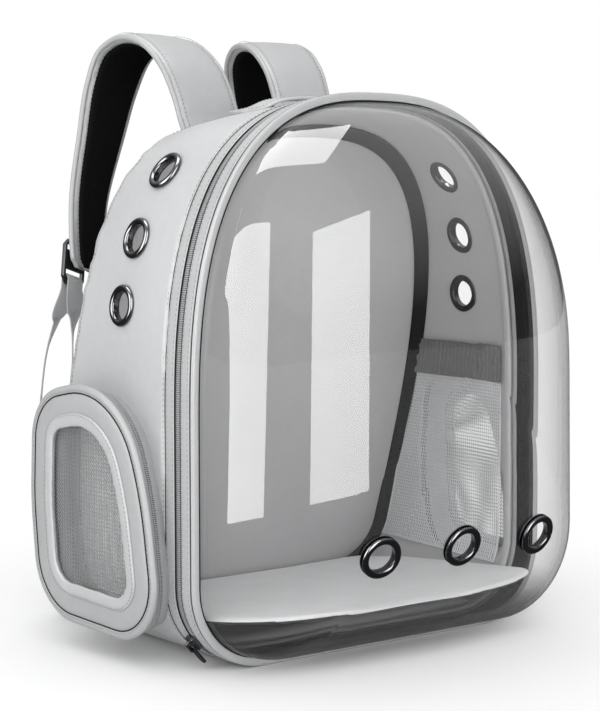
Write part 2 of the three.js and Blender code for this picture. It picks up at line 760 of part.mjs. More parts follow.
// Shoulder strap route on the right side. Columns: out is a share of the strap's reach behind
// its root, up of its height from end to top, spread of its way outward, width of its width,
// and turn of its twist.
const strapTable = [
  { out: -0.1, up: 0.33, spread: 0, width: 0.92, turn: 0 },
  { out: 0.1, up: 0.48, spread: 0, width: 0.93, turn: 0 },
  { out: 0.22, up: 0.6, spread: 0.02, width: 0.94, turn: 0 },
  { out: 0.29, up: 0.73, spread: 0.04, width: 0.96, turn: 0 },
  { out: 0.4, up: 0.865, spread: 0.08, width: 0.98, turn: 0.05 },
  { out: 0.58, up: 0.965, spread: 0.14, width: 1, turn: 0.15 },
  { out: 0.79, up: 0.99, spread: 0.22, width: 1, turn: 0.3 },
  { out: 0.94, up: 0.93, spread: 0.32, width: 1, turn: 0.4 },
  { out: 1, up: 0.79, spread: 0.44, width: 0.97, turn: 0.55 },
  { out: 0.99, up: 0.57, spread: 0.62, width: 0.9, turn: 0.75 },
  { out: 0.956, up: 0.33, spread: 0.82, width: 0.82, turn: 0.95 },
  { out: 0.903, up: 0.14, spread: 0.93, width: 0.74, turn: 1 },
  { out: 0.872, up: 0.03, spread: 0.983, width: 0.62, turn: 1 },
  { out: 0.864, up: 0, spread: 1, width: 0.42, turn: 1 },
];

function strapStations() {
  const rows = strapTable.map(({ out, up, spread, width, turn }) => ({
    point: V(
      STRAP_ROOT_X + spread * (STRAP_END_X - STRAP_ROOT_X),
      STRAP_ROOT_Y + out * STRAP_REACH,
      STRAP_END + up * (STRAP_TOP - STRAP_THICKNESS / 2 - STRAP_END),
    ),
    width: width * STRAP_WIDTH,
    turn: -turn * STRAP_TURN,
  }));
  return stationsAlong(rows, STRAP_STEPS, STRAP_THICKNESS);
}

// Frame at the strap's tip, which seats the buckle: its face looks away from the wearer
function tipFrame() {
  const stations = strapStations();
  const tip = stations[stations.length - 1];
  const face = tip.face.clone();
  if (face.y < 0) face.negate();
  return { origin: tip.middle, across: tip.across, down: tip.tangent, face };
}

function inFrame(frame, across, down, face) {
  return frame.origin.clone()
    .addScaledVector(frame.across, across)
    .addScaledVector(frame.down, down)
    .addScaledVector(frame.face, face);
}

const BUCKLE_SEAT = STRAP_THICKNESS / 2 + BUCKLE_STANDOFF;

function buckleShape() {
  const outer = new THREE.Shape();
  const halfWidth = BUCKLE_WIDTH / 2;
  const nose = BUCKLE_WIDTH / 5;
  outer.moveTo(-halfWidth, nose);
  outer.lineTo(-halfWidth + nose, 0);
  outer.lineTo(halfWidth - nose, 0);
  outer.lineTo(halfWidth, nose);
  outer.lineTo(halfWidth, BUCKLE_HEIGHT - nose);
  outer.lineTo(halfWidth - nose, BUCKLE_HEIGHT);
  outer.lineTo(-halfWidth + nose, BUCKLE_HEIGHT);
  outer.lineTo(-halfWidth, BUCKLE_HEIGHT - nose);
  const slot = (bottom, height) => {
    const hole = new THREE.Path();
    const side = BUCKLE_SLOT_WIDTH / 2;
    hole.moveTo(-side, bottom);
    hole.lineTo(-side, bottom + height);
    hole.lineTo(side, bottom + height);
    hole.lineTo(side, bottom);
    return hole;
  };
  outer.holes.push(slot(BUCKLE_BAR, BUCKLE_SLOT_HEIGHT));
  outer.holes.push(slot(BUCKLE_HEIGHT - BUCKLE_BAR - BUCKLE_TOP_SLOT_HEIGHT, BUCKLE_TOP_SLOT_HEIGHT));
  const plate = new THREE.ExtrudeGeometry(outer, { depth: BUCKLE_THICKNESS, bevelEnabled: false });
  const frame = tipFrame();
  const up = frame.down.clone().negate();
  const across = V(0, 0, 0).crossVectors(up, frame.face);
  const matrix = new THREE.Matrix4().makeBasis(across, up, frame.face);
  matrix.setPosition(inFrame(frame, BUCKLE_SIDESTEP * -1, BUCKLE_BELOW_TIP, BUCKLE_SEAT));
  plate.applyMatrix4(matrix);
  return outward(plate);
}

// Webbing: from the anchor up to the buckle, over its lower bar and down again as the tail.
// Columns of its free route on the right side: aside from the anchor, behind the floor's back
// end, up as a share of the strap tip's height, and the sideways turn.
const loadStrand = [
  { aside: 0, behind: 13, up: 0.18, turn: 0 },
  { aside: 1, behind: 26, up: 0.273, turn: -25 },
  { aside: 1, behind: 37, up: 0.403, turn: -50 },
  { aside: 0, behind: 42, up: 0.54, turn: -60 },
  { aside: -2, behind: 41, up: 0.655, turn: -62 },
  { aside: -6, behind: 38, up: 0.77, turn: -60 },
  { aside: -13, behind: 33, up: 0.856, turn: -45 },
];
const tailStrand = [
  { aside: -22, behind: 19, up: 0.878, turn: -40 },
  { aside: -21, behind: 22, up: 0.82, turn: -62 },
  { aside: -20, behind: 21, up: 0.748, turn: -62 },
  { aside: -19, behind: 20, up: 0.669, turn: -55 },
];

const strandPoint = ({ aside, behind, up }) => V(ANCHOR_X + aside, BACK_Y + behind, STRAP_END * up);

function webbingShape() {
  const frame = tipFrame();
  const side = BUCKLE_SIDESTEP * -1;
  const half = WEBBING_THICKNESS / 2 + GAP;
  const outerFace = BUCKLE_SEAT + BUCKLE_THICKNESS + half;
  const innerFace = BUCKLE_SEAT - half;
  const barTop = BUCKLE_BELOW_TIP - BUCKLE_BAR;
  const middleFace = (outerFace + innerFace) / 2;
  const bendTop = barTop - half - 2.4;
  const local = [
    [BUCKLE_BELOW_TIP + 5, outerFace + 0.3], [barTop + 1, outerFace + 0.3], [barTop - 1.6, outerFace - 0.4],
    [bendTop, middleFace], [barTop - 1.6, innerFace + 0.4], [barTop + 1, innerFace - 0.3],
    [BUCKLE_BELOW_TIP + 5, innerFace - 0.3],
  ].map(([down, face]) => ({ point: inFrame(frame, side, down, face), turn: -STRAP_TURN }));
  const far = (list) => list.map((row) => ({ point: strandPoint(row), turn: row.turn }));
  const rows = [...far(loadStrand), ...local, ...far(tailStrand)]
    .map((row) => ({ ...row, width: WEBBING_WIDTH }));
  const path = new THREE.CatmullRomCurve3(rows.map((row) => row.point), false, 'centripetal');
  const knots = rows.length - 1;
  const stations = [];
  const bendFrom = loadStrand.length;
  const bendTo = loadStrand.length + local.length - 1;
  for (let k = 0; k < knots; k++) {
    const steps = k >= bendFrom && k < bendTo ? 1 : 2;
    for (let s = 0; s < steps; s++) stations.push((k + s / steps) / knots);
  }
  stations.push(1);
  let lastAcross = null;
  return sweptBand(stations.map((t) => {
    const k = Math.min(Math.floor(t * knots + 1e-9), knots - 1);
    const degrees = THREE.MathUtils.lerp(rows[k].turn, rows[k + 1].turn, t * knots - k);
    const turn = THREE.MathUtils.degToRad(degrees);
    const tangent = path.getTangent(t);
    const inBend = k >= bendFrom - 1 && k <= bendTo;
    const across = inBend ? frame.across.clone() : V(Math.cos(turn), Math.sin(turn), 0);
    across.addScaledVector(tangent, -across.dot(tangent)).normalize();
    if (lastAcross && across.dot(lastAcross) < 0) across.negate();
    lastAcross = across;
    const face = V(0, 0, 0).crossVectors(across, tangent).normalize();
    return { middle: path.getPoint(t), across, face, width: WEBBING_WIDTH, thickness: WEBBING_THICKNESS };
  }), plainSection);
}

function anchorShape() {
  const end = strandPoint(loadStrand[0]).add(V(0, -0.5, -0.9));
  const rows = [
    { point: V(ANCHOR_X, BACK_Y - 17, ANCHOR_Z - 3), width: ANCHOR_WIDTH - 6, turn: 0 },
    { point: V(ANCHOR_X, BACK_Y - 1, ANCHOR_Z + 6), width: ANCHOR_WIDTH, turn: 0 },
    { point: end, width: WEBBING_WIDTH + 2, turn: 0 },
  ];
  return sweptBand(stationsAlong(rows, 4, ANCHOR_THICKNESS), plainSection);
}

// Zip slider: a body on the coil with an arched bridge, and the pull's bar trapped under it
function sliderShape() {
  const box = (x0, x1, y0, y1, z0, z1) => {
    const block = new THREE.BoxGeometry(x1 - x0, y1 - y0, z1 - z0);
    block.translate((x0 + x1) / 2, (y0 + y1) / 2, (z0 + z1) / 2);
    return block;
  };
  const half = SLIDER_LENGTH / 2;
  const top = SLIDER_HEIGHT + SLIDER_STANDOFF;
  return join([
    box(-half, half, -SLIDER_WIDTH / 2, SLIDER_WIDTH / 2, SLIDER_STANDOFF, top),
    box(-4.2, -2.8, -1, 1, top - 1, top + 4.2),
    box(2.8, 4.2, -1, 1, top - 1, top + 4.2),
    box(-4.2, 4.2, -1, 1, top + 2.8, top + 4.2),
  ]);
}

const PIN_HEIGHT = SLIDER_HEIGHT + SLIDER_STANDOFF + 1.4;

function pullShape() {
  const half = PULL_THICKNESS / 2;
  const outer = new THREE.Shape();
  const side = PULL_WIDTH / 2;
  outer.moveTo(-half, -side * 0.92);
  outer.lineTo(5.6, -side * 0.92);
  outer.lineTo(PULL_LENGTH * 0.62, -side);
  outer.lineTo(PULL_LENGTH - 2, -side);
  outer.lineTo(PULL_LENGTH, -side * 0.5);
  outer.lineTo(PULL_LENGTH, side * 0.5);
  outer.lineTo(PULL_LENGTH - 2, side);
  outer.lineTo(PULL_LENGTH * 0.62, side);
  outer.lineTo(5.6, side * 0.92);
  outer.lineTo(-half, side * 0.92);
  const hole = new THREE.Path();
  hole.moveTo(half, -1.7);
  hole.lineTo(half, 1.7);
  hole.lineTo(5.6, 1.7);
  hole.lineTo(5.6, -1.7);
  outer.holes.push(hole);
  const plate = new THREE.ExtrudeGeometry(outer, { depth: PULL_THICKNESS, bevelEnabled: false });
  plate.translate(0, 0, -half);
  return outward(plate);
}

// Places a slider and its pull. The frame's run is the zip's way, out is away from the bag.
function addSlider(name, place, run, out, scale) {
  const sideways = V(0, 0, 0).crossVectors(out, run);
  const basis = new THREE.Matrix4().makeBasis(run, sideways, out);
  const turn = new THREE.Quaternion().setFromRotationMatrix(basis);
  const slider = addPart(`${name}_slider`, sliderShape().scale(scale, scale, scale), gunmetal);
  slider.position.copy(place);
  slider.quaternion.copy(turn);
  const pull = addPart(`${name}_pull`, pullShape().scale(scale, scale, scale), gunmetal);
  pull.position.copy(place).addScaledVector(out, PIN_HEIGHT * scale);
  pull.quaternion.copy(turn);
}

// Side and top wall, with the eyelet holes and the openings behind the pockets
function addSideWall() {
  const opening = pocketOpeningTool();
  const spots = sideEyeletSpots();
  const tools = [...spots.map(eyeletHole), opening, mirrored(opening)];
  const shell = cut(sideWallShell(), tools);
  addPart('side_wall', shell, leatherette);
  addEyelets('side_eyelet', spots);
}

function sideWallShell() {
  const outer = WALL_SHARES.map((share) => skinRing(alongWall(share), 0));
  const inner = WALL_SHARES.map((share) => skinRing(alongWall(share), WALL)).reverse();
  return loft([...outer, ...inner]);
}

function addBackPanel() {
  const inset = WALL + GAP;
  const rings = [skinRing(fromBack(BACK_THICKNESS), inset), skinRing(fromBack(0), inset)];
  for (const scale of [0.8, 0.5, 0.25]) rings.push(backFaceRing(scale, inset, 0));
  const inside = [0.25, 0.5, 0.75].map((scale) => {
    const middle = BACK_HEIGHT / 2;
    return outline(backForm, inset).map(([x, z]) => {
      const height = middle + (z - middle) * scale;
      return V(x * scale, FRONT_Y + depthAt(height) - BACK_THICKNESS, height);
    });
  });
  const innerMiddle = V(0, FRONT_Y + MIDDLE_DEPTH - BACK_THICKNESS, BACK_HEIGHT / 2);
  const outerMiddle = backFacePoint(0, BACK_HEIGHT / 2, 1, 0);
  addPart('back_panel', loft([...inside, ...rings], innerMiddle, outerMiddle), panelGrey);
}

function addRimBands() {
  const stripFrom = -STRIP_THICKNESS;
  addPart('bubble_strip', band([
    [stripFrom + 0.8, 0], [stripFrom, 1.2], [stripFrom, STRIP_WIDTH - 0.6],
    [0, STRIP_WIDTH], [0, 0],
  ], fromFront), lightTrim);
  const bandFrom = FLANGE_THICKNESS + 2 * GAP;
  const zipFrom = bandFrom + DOOR_BAND_WIDTH + GAP;
  const borderFrom = zipFrom + ZIP_WIDTH + GAP;
  addPart('door_band', crownedBand(bandFrom, zipFrom - GAP, 0), leatherette);
  const zipTo = borderFrom - GAP;
  const zipUnder = ZIP_RECESS + BAND_CROWN + WALL;
  addPart('main_zip', band([
    [zipFrom, ZIP_RECESS], [zipTo, ZIP_RECESS], [zipTo, zipUnder], [zipFrom, zipUnder],
  ], fromFront), zipGrey);
  addPart('zip_border', crownedBand(borderFrom, SEAM_DEPTH - GAP, 0), leatherette);
  const inside = BAND_CROWN + WALL + GAP;
  addPart('bubble_binding', band([
    [bandFrom, inside], [bandFrom + BINDING_WIDTH, inside],
    [bandFrom + BINDING_WIDTH, inside + BINDING_THICKNESS], [bandFrom, STRIP_WIDTH + BUBBLE_WALL],
  ], fromFront), darkBinding);
  const seamInside = inside + ZIP_RECESS;
  addPart('front_binding', band([
    [SEAM_DEPTH - BINDING_WIDTH / 2, seamInside], [SEAM_DEPTH + BINDING_WIDTH / 2, seamInside],
    [SEAM_DEPTH + BINDING_WIDTH / 2 - 1, seamInside + BINDING_THICKNESS],
    [SEAM_DEPTH - BINDING_WIDTH / 2 + 1, seamInside + BINDING_THICKNESS],
  ], fromFront), darkBinding);
  const backFrom = BACK_THICKNESS + GAP;
  const wallInside = WALL + GAP;
  addPart('back_binding', band([
    [backFrom, wallInside], [backFrom, wallInside + CORNER_BINDING],
    [backFrom + BINDING_THICKNESS, wallInside + CORNER_BINDING - 1],
    [backFrom + CORNER_BINDING, wallInside + BINDING_THICKNESS], [backFrom + CORNER_BINDING, wallInside],
  ], fromBack), darkBinding);
}

// Clear dome with a flange round its rim
function bubbleShell() {
  const turns = [0, 0.24, 0.5, 0.75, 0.98, 1.18, 1.38];
  const outerInset = STRIP_WIDTH + GAP;
  const innerInset = outerInset + BUBBLE_WALL;
  const outer = turns.map((turn) => domeRing(turn, outerInset, BUBBLE_DEPTH));
  const inner = turns.map((turn) => domeRing(turn, innerInset, BUBBLE_DEPTH - BUBBLE_WALL)).reverse();
  inner[inner.length - 1].forEach((point) => point.setY(FRONT_Y + GAP + FLANGE_THICKNESS));
  const flange = [
    skinRing(fromFront(GAP + FLANGE_THICKNESS), FLANGE_INSET), skinRing(fromFront(GAP), FLANGE_INSET),
  ];
  const apex = V(0, FRONT_Y + GAP - BUBBLE_DEPTH, BUBBLE_CENTRE_HEIGHT);
  const shell = closedShell([...flange, ...outer], apex, inner, apex.clone().add(V(0, BUBBLE_WALL, 0)));
  return shell;
}

function addBubble() {
  const spots = bubbleEyeletSpots();
  addPart('bubble', cut(bubbleShell(), spots.map(eyeletHole)), clearPlastic);
  addEyelets('bubble_eyelet', spots);
}

// Closes a bowl: outer rings to an outer apex, inner rings back from an inner apex to the rim.
function closedShell(outerRings, outerApex, innerRings, innerApex) {
  const count = outerRings[0].length;
  const rings = [...outerRings, ...innerRings];
  const points = rings.flat();
  const triangles = [];
  const link = (a, b) => {
    for (let i = 0; i < count; i++) triangles.push(...quad(a * count, b * count, i, count));
  };
  const fan = (ring, apex, turned) => {
    const tip = points.push(apex) - 1;
    for (let i = 0; i < count; i++) {
      const j = (i + 1) % count;
      const [a, b] = turned ? [ring * count + j, ring * count + i] : [ring * count + i, ring * count + j];
      triangles.push([a, b, tip]);
    }
  };
  const lastOuter = outerRings.length - 1;
  for (let k = 0; k < lastOuter; k++) link(k, k + 1);
  fan(lastOuter, outerApex, false);
  fan(lastOuter + 1, innerApex, true);
  for (let k = lastOuter + 1; k < rings.length - 1; k++) link(k, k + 1);
  link(rings.length - 1, 0);
  return bodyFrom(points, triangles);
}

function addEyelets(prefix, spots) {
  for (const spot of spots) {
    addPart(`${prefix}_${spot.name}`, placed(eyeletShape(spot), spot.place, spot.direction), gunmetal);
  }
}

const BASE_TOP = WALL + GAP + BASE_THICKNESS;
const BASE_FRONT_Y = FRONT_Y + SEAM_DEPTH + BINDING_WIDTH / 2 + GAP;
const BASE_BACK_Y = FRONT_Y + depthAt(BASE_TOP) - BACK_THICKNESS - CORNER_BINDING - 2 * GAP;

// Stiff padded floor, narrow enough at its underside to lie between the round corners
function addBasePanel() {
  const floor = WALL + GAP;
  const flat = FRONT_WIDTH / 2 - FRONT_CORNER - 1;
  const shape = new THREE.Shape();
  shape.moveTo(-flat, floor);
  shape.lineTo(flat, floor);
  shape.lineTo(flat + BASE_BEVEL, floor + BASE_THICKNESS * 0.62);
  shape.lineTo(flat + BASE_BEVEL + 3, BASE_TOP);
  shape.lineTo(-flat - BASE_BEVEL - 3, BASE_TOP);
  shape.lineTo(-flat - BASE_BEVEL, floor + BASE_THICKNESS * 0.62);
  const depth = BASE_BACK_Y - BASE_FRONT_Y;
  const board = new THREE.ExtrudeGeometry(shape, { depth, bevelEnabled: false, steps: 1 });
  board.rotateX(HALF_TURN);
  board.translate(0, BASE_BACK_Y, 0);
  addPart('base_panel', outward(board), panelGrey);
}

// Height at which a mat of this width comes to rest on the ring's round corners
function matRest() {
  const inset = STRIP_WIDTH + GAP + BUBBLE_WALL;
  const radius = FRONT_CORNER - inset;
  const reach = MAT_HALF_WIDTH + GAP - (FRONT_WIDTH / 2 - FRONT_CORNER);
  return FRONT_CORNER - Math.sqrt(radius ** 2 - reach ** 2) + GAP;
}

function addMat() {
  const low = BASE_TOP + GAP;
  const backY = FRONT_Y + depthAt(low + MAT_THICKNESS) - BACK_THICKNESS - 3 * GAP;
  const cornerY = FRONT_Y + 6;
  const frontY = FRONT_Y - MAT_REACH;
  const slope = (matRest() - MAT_CURL - low) / (BASE_BACK_Y - FRONT_Y);
  const rows = [];
  for (const share of [0, 0.35, 1]) {
    const y = backY - share * MAT_BACK_ROUND;
    const drop = 1 - share;
    rows.push({ y, half: MAT_HALF_WIDTH - MAT_BACK_ROUND * (1 - Math.sqrt(1 - drop ** 2)) - 6 * drop });
  }
  rows.push({ y: (backY + cornerY) / 2 - 12, half: MAT_HALF_WIDTH });
  rows.push({ y: cornerY, half: MAT_HALF_WIDTH });
  for (const turn of [0.25, 0.5, 0.75, 1, 1.22, 1.4]) {
    const power = 2 / 2.3;
    const forward = (cornerY - frontY) * Math.sin(turn) ** power;
    rows.push({ y: cornerY - forward, half: MAT_HALF_WIDTH * Math.cos(turn) ** power });
  }
  const columns = [-1, -0.82, -0.45, 0, 0.45, 0.82, 1];
  const grid = (lift) => rows.map(({ y, half }) => columns.map((c) => {
    const x = c * half;
    const curl = MAT_CURL * (Math.abs(x) / MAT_HALF_WIDTH) ** 4 * Math.min(1, (backY - y) / 60);
    return V(x, y, low + Math.max(BASE_BACK_Y - y, 0) * slope + curl + lift);
  }));
  addPart('floor_mat', sheetBetween(grid(MAT_THICKNESS), grid(0)), matGrey);
}

// Net panel on the inside of the right wall, between the two dark bindings
function netPanelShape() {
  const bindingEnd = SEAM_DEPTH + BINDING_WIDTH / 2 + 2 * GAP;
  const backEnd = BACK_THICKNESS + CORNER_BINDING + 3 * GAP;
  const grid = (inset) => WALL_SHARES.map((share) => {
    const depthOf = (i) => Math.min(Math.max(alongWall(share)(i), bindingEnd), rimLength[i] - backEnd);
    return skinRing(depthOf, inset).slice(CORNER_STEPS, NET_TOP_INDEX + 1);
  });
  const layer = WALL + NET_LAYER_GAP;
  return sheetBetween(grid(layer), grid(layer + NET_THICKNESS));
}

function handleShape(space) {
  const surface = (x) => {
    const share = (HANDLE_Y - FRONT_Y) / TOP_DEPTH;
    const top = (form) => {
      const part = 1 - Math.min(Math.abs(x) / (form.width / 2), 1) ** form.power;
      return form.sideTop + (form.height - form.sideTop) * part ** (1 / form.power);
    };
    return top(frontForm) * (1 - share) + top(backForm) * share + SIDE_BULGE;
  };
  const table = [
    { along: -1, rise: 0 }, { along: -0.78, rise: 0.06 }, { along: -0.5, rise: 0.72 },
    { along: 0, rise: 1 }, { along: 0.5, rise: 0.72 }, { along: 0.78, rise: 0.06 }, { along: 1, rise: 0 },
  ];
  const rows = table.map(({ along, rise }) => {
    const x = along * HANDLE_HALF_LENGTH;
    const z = surface(x) + HANDLE_THICKNESS / 2 + rise * HANDLE_RISE;
    return { point: V(x, HANDLE_Y, z), width: HANDLE_WIDTH, turn: 90 };
  });
  return cut(sweptBand(stationsAlong(rows, 14, HANDLE_THICKNESS), plainSection), [space]);
}

function addBothSides(name, geometry, material) {
  addPart(`${name}_left`, mirrored(geometry), material);
  addPart(`${name}_right`, geometry, material);
}

function addPockets() {
  const { wall, zip, face, trim, net } = pocketPieces();
  addBothSides('pocket_wall', wall, leatherette);
  addBothSides('pocket_zip', zip, zipGrey);
  addBothSides('pocket_face', face, leatherette);
  addBothSides('pocket_trim', trim, lightTrim);
  addBothSides('pocket_net', net, netGrey);
}

function addStraps() {
  const space = carrierSpace(GAP);
  const stations = strapStations();
  const pad = cut(sweptBand(stations, paddedSection), [space]);
  const inward = stations[Math.floor(stations.length / 2)].face.z > 0 ? -1 : 1;
  const lined = stations.slice(0, -1).map((station) => ({
    ...station,
    middle: station.middle.clone().addScaledVector(
      station.face, inward * (STRAP_THICKNESS / 2 + GAP + LINING_THICKNESS / 2),
    ),
    width: station.width - 2 * LINING_MARGIN,
    thickness: LINING_THICKNESS,
  }));
  addBothSides('strap_pad', pad, leatherette);
  addBothSides('strap_lining', cut(sweptBand(lined, plainSection), [space]), blackCloth);
  addBothSides('strap_buckle', buckleShape(), blackPlastic);
  addBothSides('webbing', webbingShape(), webbingGrey);
  addBothSides('webbing_anchor', cut(anchorShape(), [space]), leatherette);
}

function addZipSliders() {
  const turn = THREE.MathUtils.degToRad(SLIDER_TURN);
  const zipMiddle = FLANGE_THICKNESS + 3 * GAP + DOOR_BAND_WIDTH + ZIP_WIDTH / 2;
  const centreX = -(FRONT_WIDTH / 2 - FRONT_CORNER);
  const out = V(-Math.sin(turn), 0, -Math.cos(turn));
  const run = V(Math.cos(turn), 0, -Math.sin(turn));
  const place = V(centreX, FRONT_Y + zipMiddle, FRONT_CORNER).addScaledVector(out, FRONT_CORNER);
  addSlider('main_zip', place, run, out, 1);
  const zipShare = (POCKET_ZIP_FROM + POCKET_ZIP_TO) / 2;
  const ring = pocketRing(pocketInsetAt(zipShare), zipShare);
  const aboveMiddle = 3 * (POCKET_ARC_STEPS + 1);
  const lower = ring[aboveMiddle - 1];
  const upper = ring[aboveMiddle];
  const share = (POCKET_SLIDER_HEIGHT - lower.z) / (upper.z - lower.z);
  const spot = lower.clone().lerp(upper, share);
  const down = lower.clone().sub(upper).setX(0).normalize();
  const flare = Math.atan2(POCKET_FLARE, pocketFaceX(spot.y) - wallX(spot.y, spot.z));
  for (const side of [-1, 1]) {
    const out = V(-side * Math.sin(flare), -down.z * Math.cos(flare), down.y * Math.cos(flare));
    const seat = V(side * spot.x, spot.y, spot.z);
    addSlider(`pocket_zip_${sideName(side)}`, seat, down, out, POCKET_SLIDER_SCALE);
  }
}

addSideWall();
addBackPanel();
addBasePanel();
addRimBands();
addBubble();
addMat();
addBothSides('side_net', netPanelShape(), netGrey);
addPockets();
addStraps();
addPart('carry_handle', handleShape(carrierSpace(GAP)), leatherette);
addZipSliders();

export default carrier;
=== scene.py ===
"""Looks of a bubble pet carrier backpack: fine skins, padding, nets, zips, stitches and finishes."""

import bpy
import bmesh
import math
import numpy as np
from mathutils import Matrix, Vector, noise
from mathutils.bvhtree import BVHTree


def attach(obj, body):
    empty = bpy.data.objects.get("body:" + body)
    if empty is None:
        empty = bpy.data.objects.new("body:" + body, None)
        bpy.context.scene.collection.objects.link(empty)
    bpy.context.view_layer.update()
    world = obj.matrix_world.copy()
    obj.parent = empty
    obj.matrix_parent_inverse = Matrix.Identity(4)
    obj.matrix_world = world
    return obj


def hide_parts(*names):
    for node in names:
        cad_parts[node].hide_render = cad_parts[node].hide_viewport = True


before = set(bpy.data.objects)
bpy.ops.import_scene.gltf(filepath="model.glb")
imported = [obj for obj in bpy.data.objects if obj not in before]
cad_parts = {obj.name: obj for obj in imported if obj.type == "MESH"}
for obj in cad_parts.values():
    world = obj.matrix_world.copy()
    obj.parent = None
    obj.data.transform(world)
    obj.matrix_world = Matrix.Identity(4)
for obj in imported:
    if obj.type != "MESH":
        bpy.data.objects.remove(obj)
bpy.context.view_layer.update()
MM = 0.001
MERGE_DISTANCE = 1e-6
BODY = "carrier"
SIDES = {"left": -1, "right": 1}

# Sizes shared with the solids, in millimetres
FRONT = dict(width=331, height=413.5, corner=62, side_top=176, power=2.62)
BACK = dict(width=340, height=397, corner=47, side_top=100, power=3.7)
FLOOR_DEPTH, MIDDLE_DEPTH, TOP_DEPTH = 230, 167, 129
FRONT_Y = -FLOOR_DEPTH / 2
WALL = 2
GAP = 0.3
SIDE_BULGE, BULGE_START, BULGE_RISE = 1.5, 20, 42
DOOR_BAND, ZIP_BAND, BORDER_BAND = 10.4, 8, 11.4
BAND_CROWN = 0.8
STRIP_WIDTH, STRIP_THICKNESS = 6.5, 2
SEAM_DEPTH = DOOR_BAND + ZIP_BAND + BORDER_BAND + 3 * GAP + STRIP_THICKNESS
BUBBLE_DEPTH, BUBBLE_WALL, BUBBLE_CENTRE = 115, 2, 227
BUBBLE_POWERS = dict(side=2.12, up=1.64, down=2.28)
FLANGE_THICKNESS, FLANGE_INSET = 1.7, 1.5
BACK_THICKNESS = 8
EYELET_HOLE, EYELET_BARREL, EYELET_OUTER = 10.5, 12.0, 15.5
EYELET_SIDES = 72
BARREL_HOLE, DRILL_REACH, DRILL_SIDES = 12.4, 20, 64
BUBBLE_EYELET_HEIGHT, BUBBLE_EYELET_SPACING = 91, 72.5
DOME_HALVINGS = 40
SIDE_EYELETS = dict(top=354.5, spacing=48.7, share=0.6)
NET_TOP = 216

# How the cloth simulation swells a pad
PAD_PRESSURE, SWELL_STEPS, CLOTH_QUALITY = 4.0, 20, 5


# Steps along a quarter of an outline: floor, corner, side and arch
FLOOR_STEPS, CORNER_STEPS, SIDE_STEPS, ARCH_STEPS = 10, 14, 10, 54


# Outlines and skins of the bag
def circle(count):
    """Angles of evenly spaced points round a circle."""
    return np.linspace(0, 2 * math.pi, count, endpoint=False)


def signed_power(value, power):
    return math.copysign(abs(value) ** power, value)


def rim(form, inset=0.0):
    """Points of an outline in the XZ plane, from the bottom middle round by the right."""
    half, radius = form["width"] / 2 - inset, form["corner"] - inset
    flat = form["width"] / 2 - form["corner"]
    rise = form["height"] - inset - form["side_top"]
    right = [(flat * k / FLOOR_STEPS, inset) for k in range(FLOOR_STEPS)]
    for k in range(CORNER_STEPS + 1):
        turn = k / CORNER_STEPS * math.pi / 2
        right.append((flat + radius * math.sin(turn), form["corner"] - radius * math.cos(turn)))
    for k in range(1, SIDE_STEPS):
        right.append((half, form["corner"] + (form["side_top"] - form["corner"]) * k / SIDE_STEPS))
    for k in range(ARCH_STEPS + 1):
        turn = k / ARCH_STEPS * math.pi / 2
        x = half * max(math.cos(turn), 0) ** (2 / form["power"]) if k < ARCH_STEPS else 0.0
        right.append((x, form["side_top"] + rise * math.sin(turn) ** (2 / form["power"])))
    left = [(-x, z) for x, z in right[1:-1][::-1]]
    return np.array(right + left)


def depth_at(z):
    """Depth of the bag at a height: a smooth line through the floor, the middle and the top."""
    share = z / BACK["height"]
    return (FLOOR_DEPTH * (1 - share) * (1 - 2 * share) + MIDDLE_DEPTH * 4 * share * (1 - share)
            + TOP_DEPTH * share * (2 * share - 1))


FRONT_RIM, BACK_RIM = rim(FRONT), rim(BACK)
RIM_LENGTH = depth_at(BACK_RIM[:, 1])
RIM_COUNT = len(FRONT_RIM)


def skin(place, inset):
    """Ring on the bag's skin; place is from_front(d), from_back(d) or along_wall(share)."""
    front, back = rim(FRONT, inset), rim(BACK, inset)
    depth = place(back[:, 1])
    share = (depth / RIM_LENGTH)[:, None]
    flat = front + (back - front) * share
    out = FRONT_RIM - np.array([0, FRONT["height"] / 2])
    out = out / np.linalg.norm(out, axis=1)[:, None]
    along = np.clip((depth - SEAM_DEPTH) / (RIM_LENGTH - SEAM_DEPTH), 0, 1)
    lift = np.clip((FRONT_RIM[:, 1] - BULGE_START) / BULGE_RISE, 0, 1)
    flat = flat + out * (SIDE_BULGE * lift * np.sin(math.pi * along))[:, None]
    return np.column_stack([flat[:, 0], FRONT_Y + depth, flat[:, 1]])


def from_front(depth):
    return lambda z: np.full(RIM_COUNT, float(depth))


def from_back(depth):
    return lambda z: depth_at(z) - depth


def along_wall(share):
    return lambda z: SEAM_DEPTH + (RIM_LENGTH - SEAM_DEPTH) * share


# Mesh making
def shell_object(name, verts, faces, material, uvs=None):
    """A new mesh object from millimetre points, with an optional UV for each face corner."""
    mesh = bpy.data.meshes.new(name)
    mesh.from_pydata([tuple(v) for v in np.asarray(verts) * MM], [], [tuple(f) for f in faces])
    mesh.polygons.foreach_set("use_smooth", [True] * len(mesh.polygons))
    if uvs is not None:
        layer = mesh.uv_layers.new(name="UVMap")
        layer.data.foreach_set("uv", np.asarray(uvs, np.float32).ravel())
    mesh.materials.append(material)
    piece = bpy.data.objects.new(name, mesh)
    bpy.context.scene.collection.objects.link(piece)
    return piece


def face_outward(piece):
    work = bmesh.new()
    work.from_mesh(piece.data)
    bmesh.ops.remove_doubles(work, verts=work.verts, dist=MERGE_DISTANCE)
    bmesh.ops.recalc_face_normals(work, faces=work.faces)
    work.to_mesh(piece.data)
    work.free()
    return piece


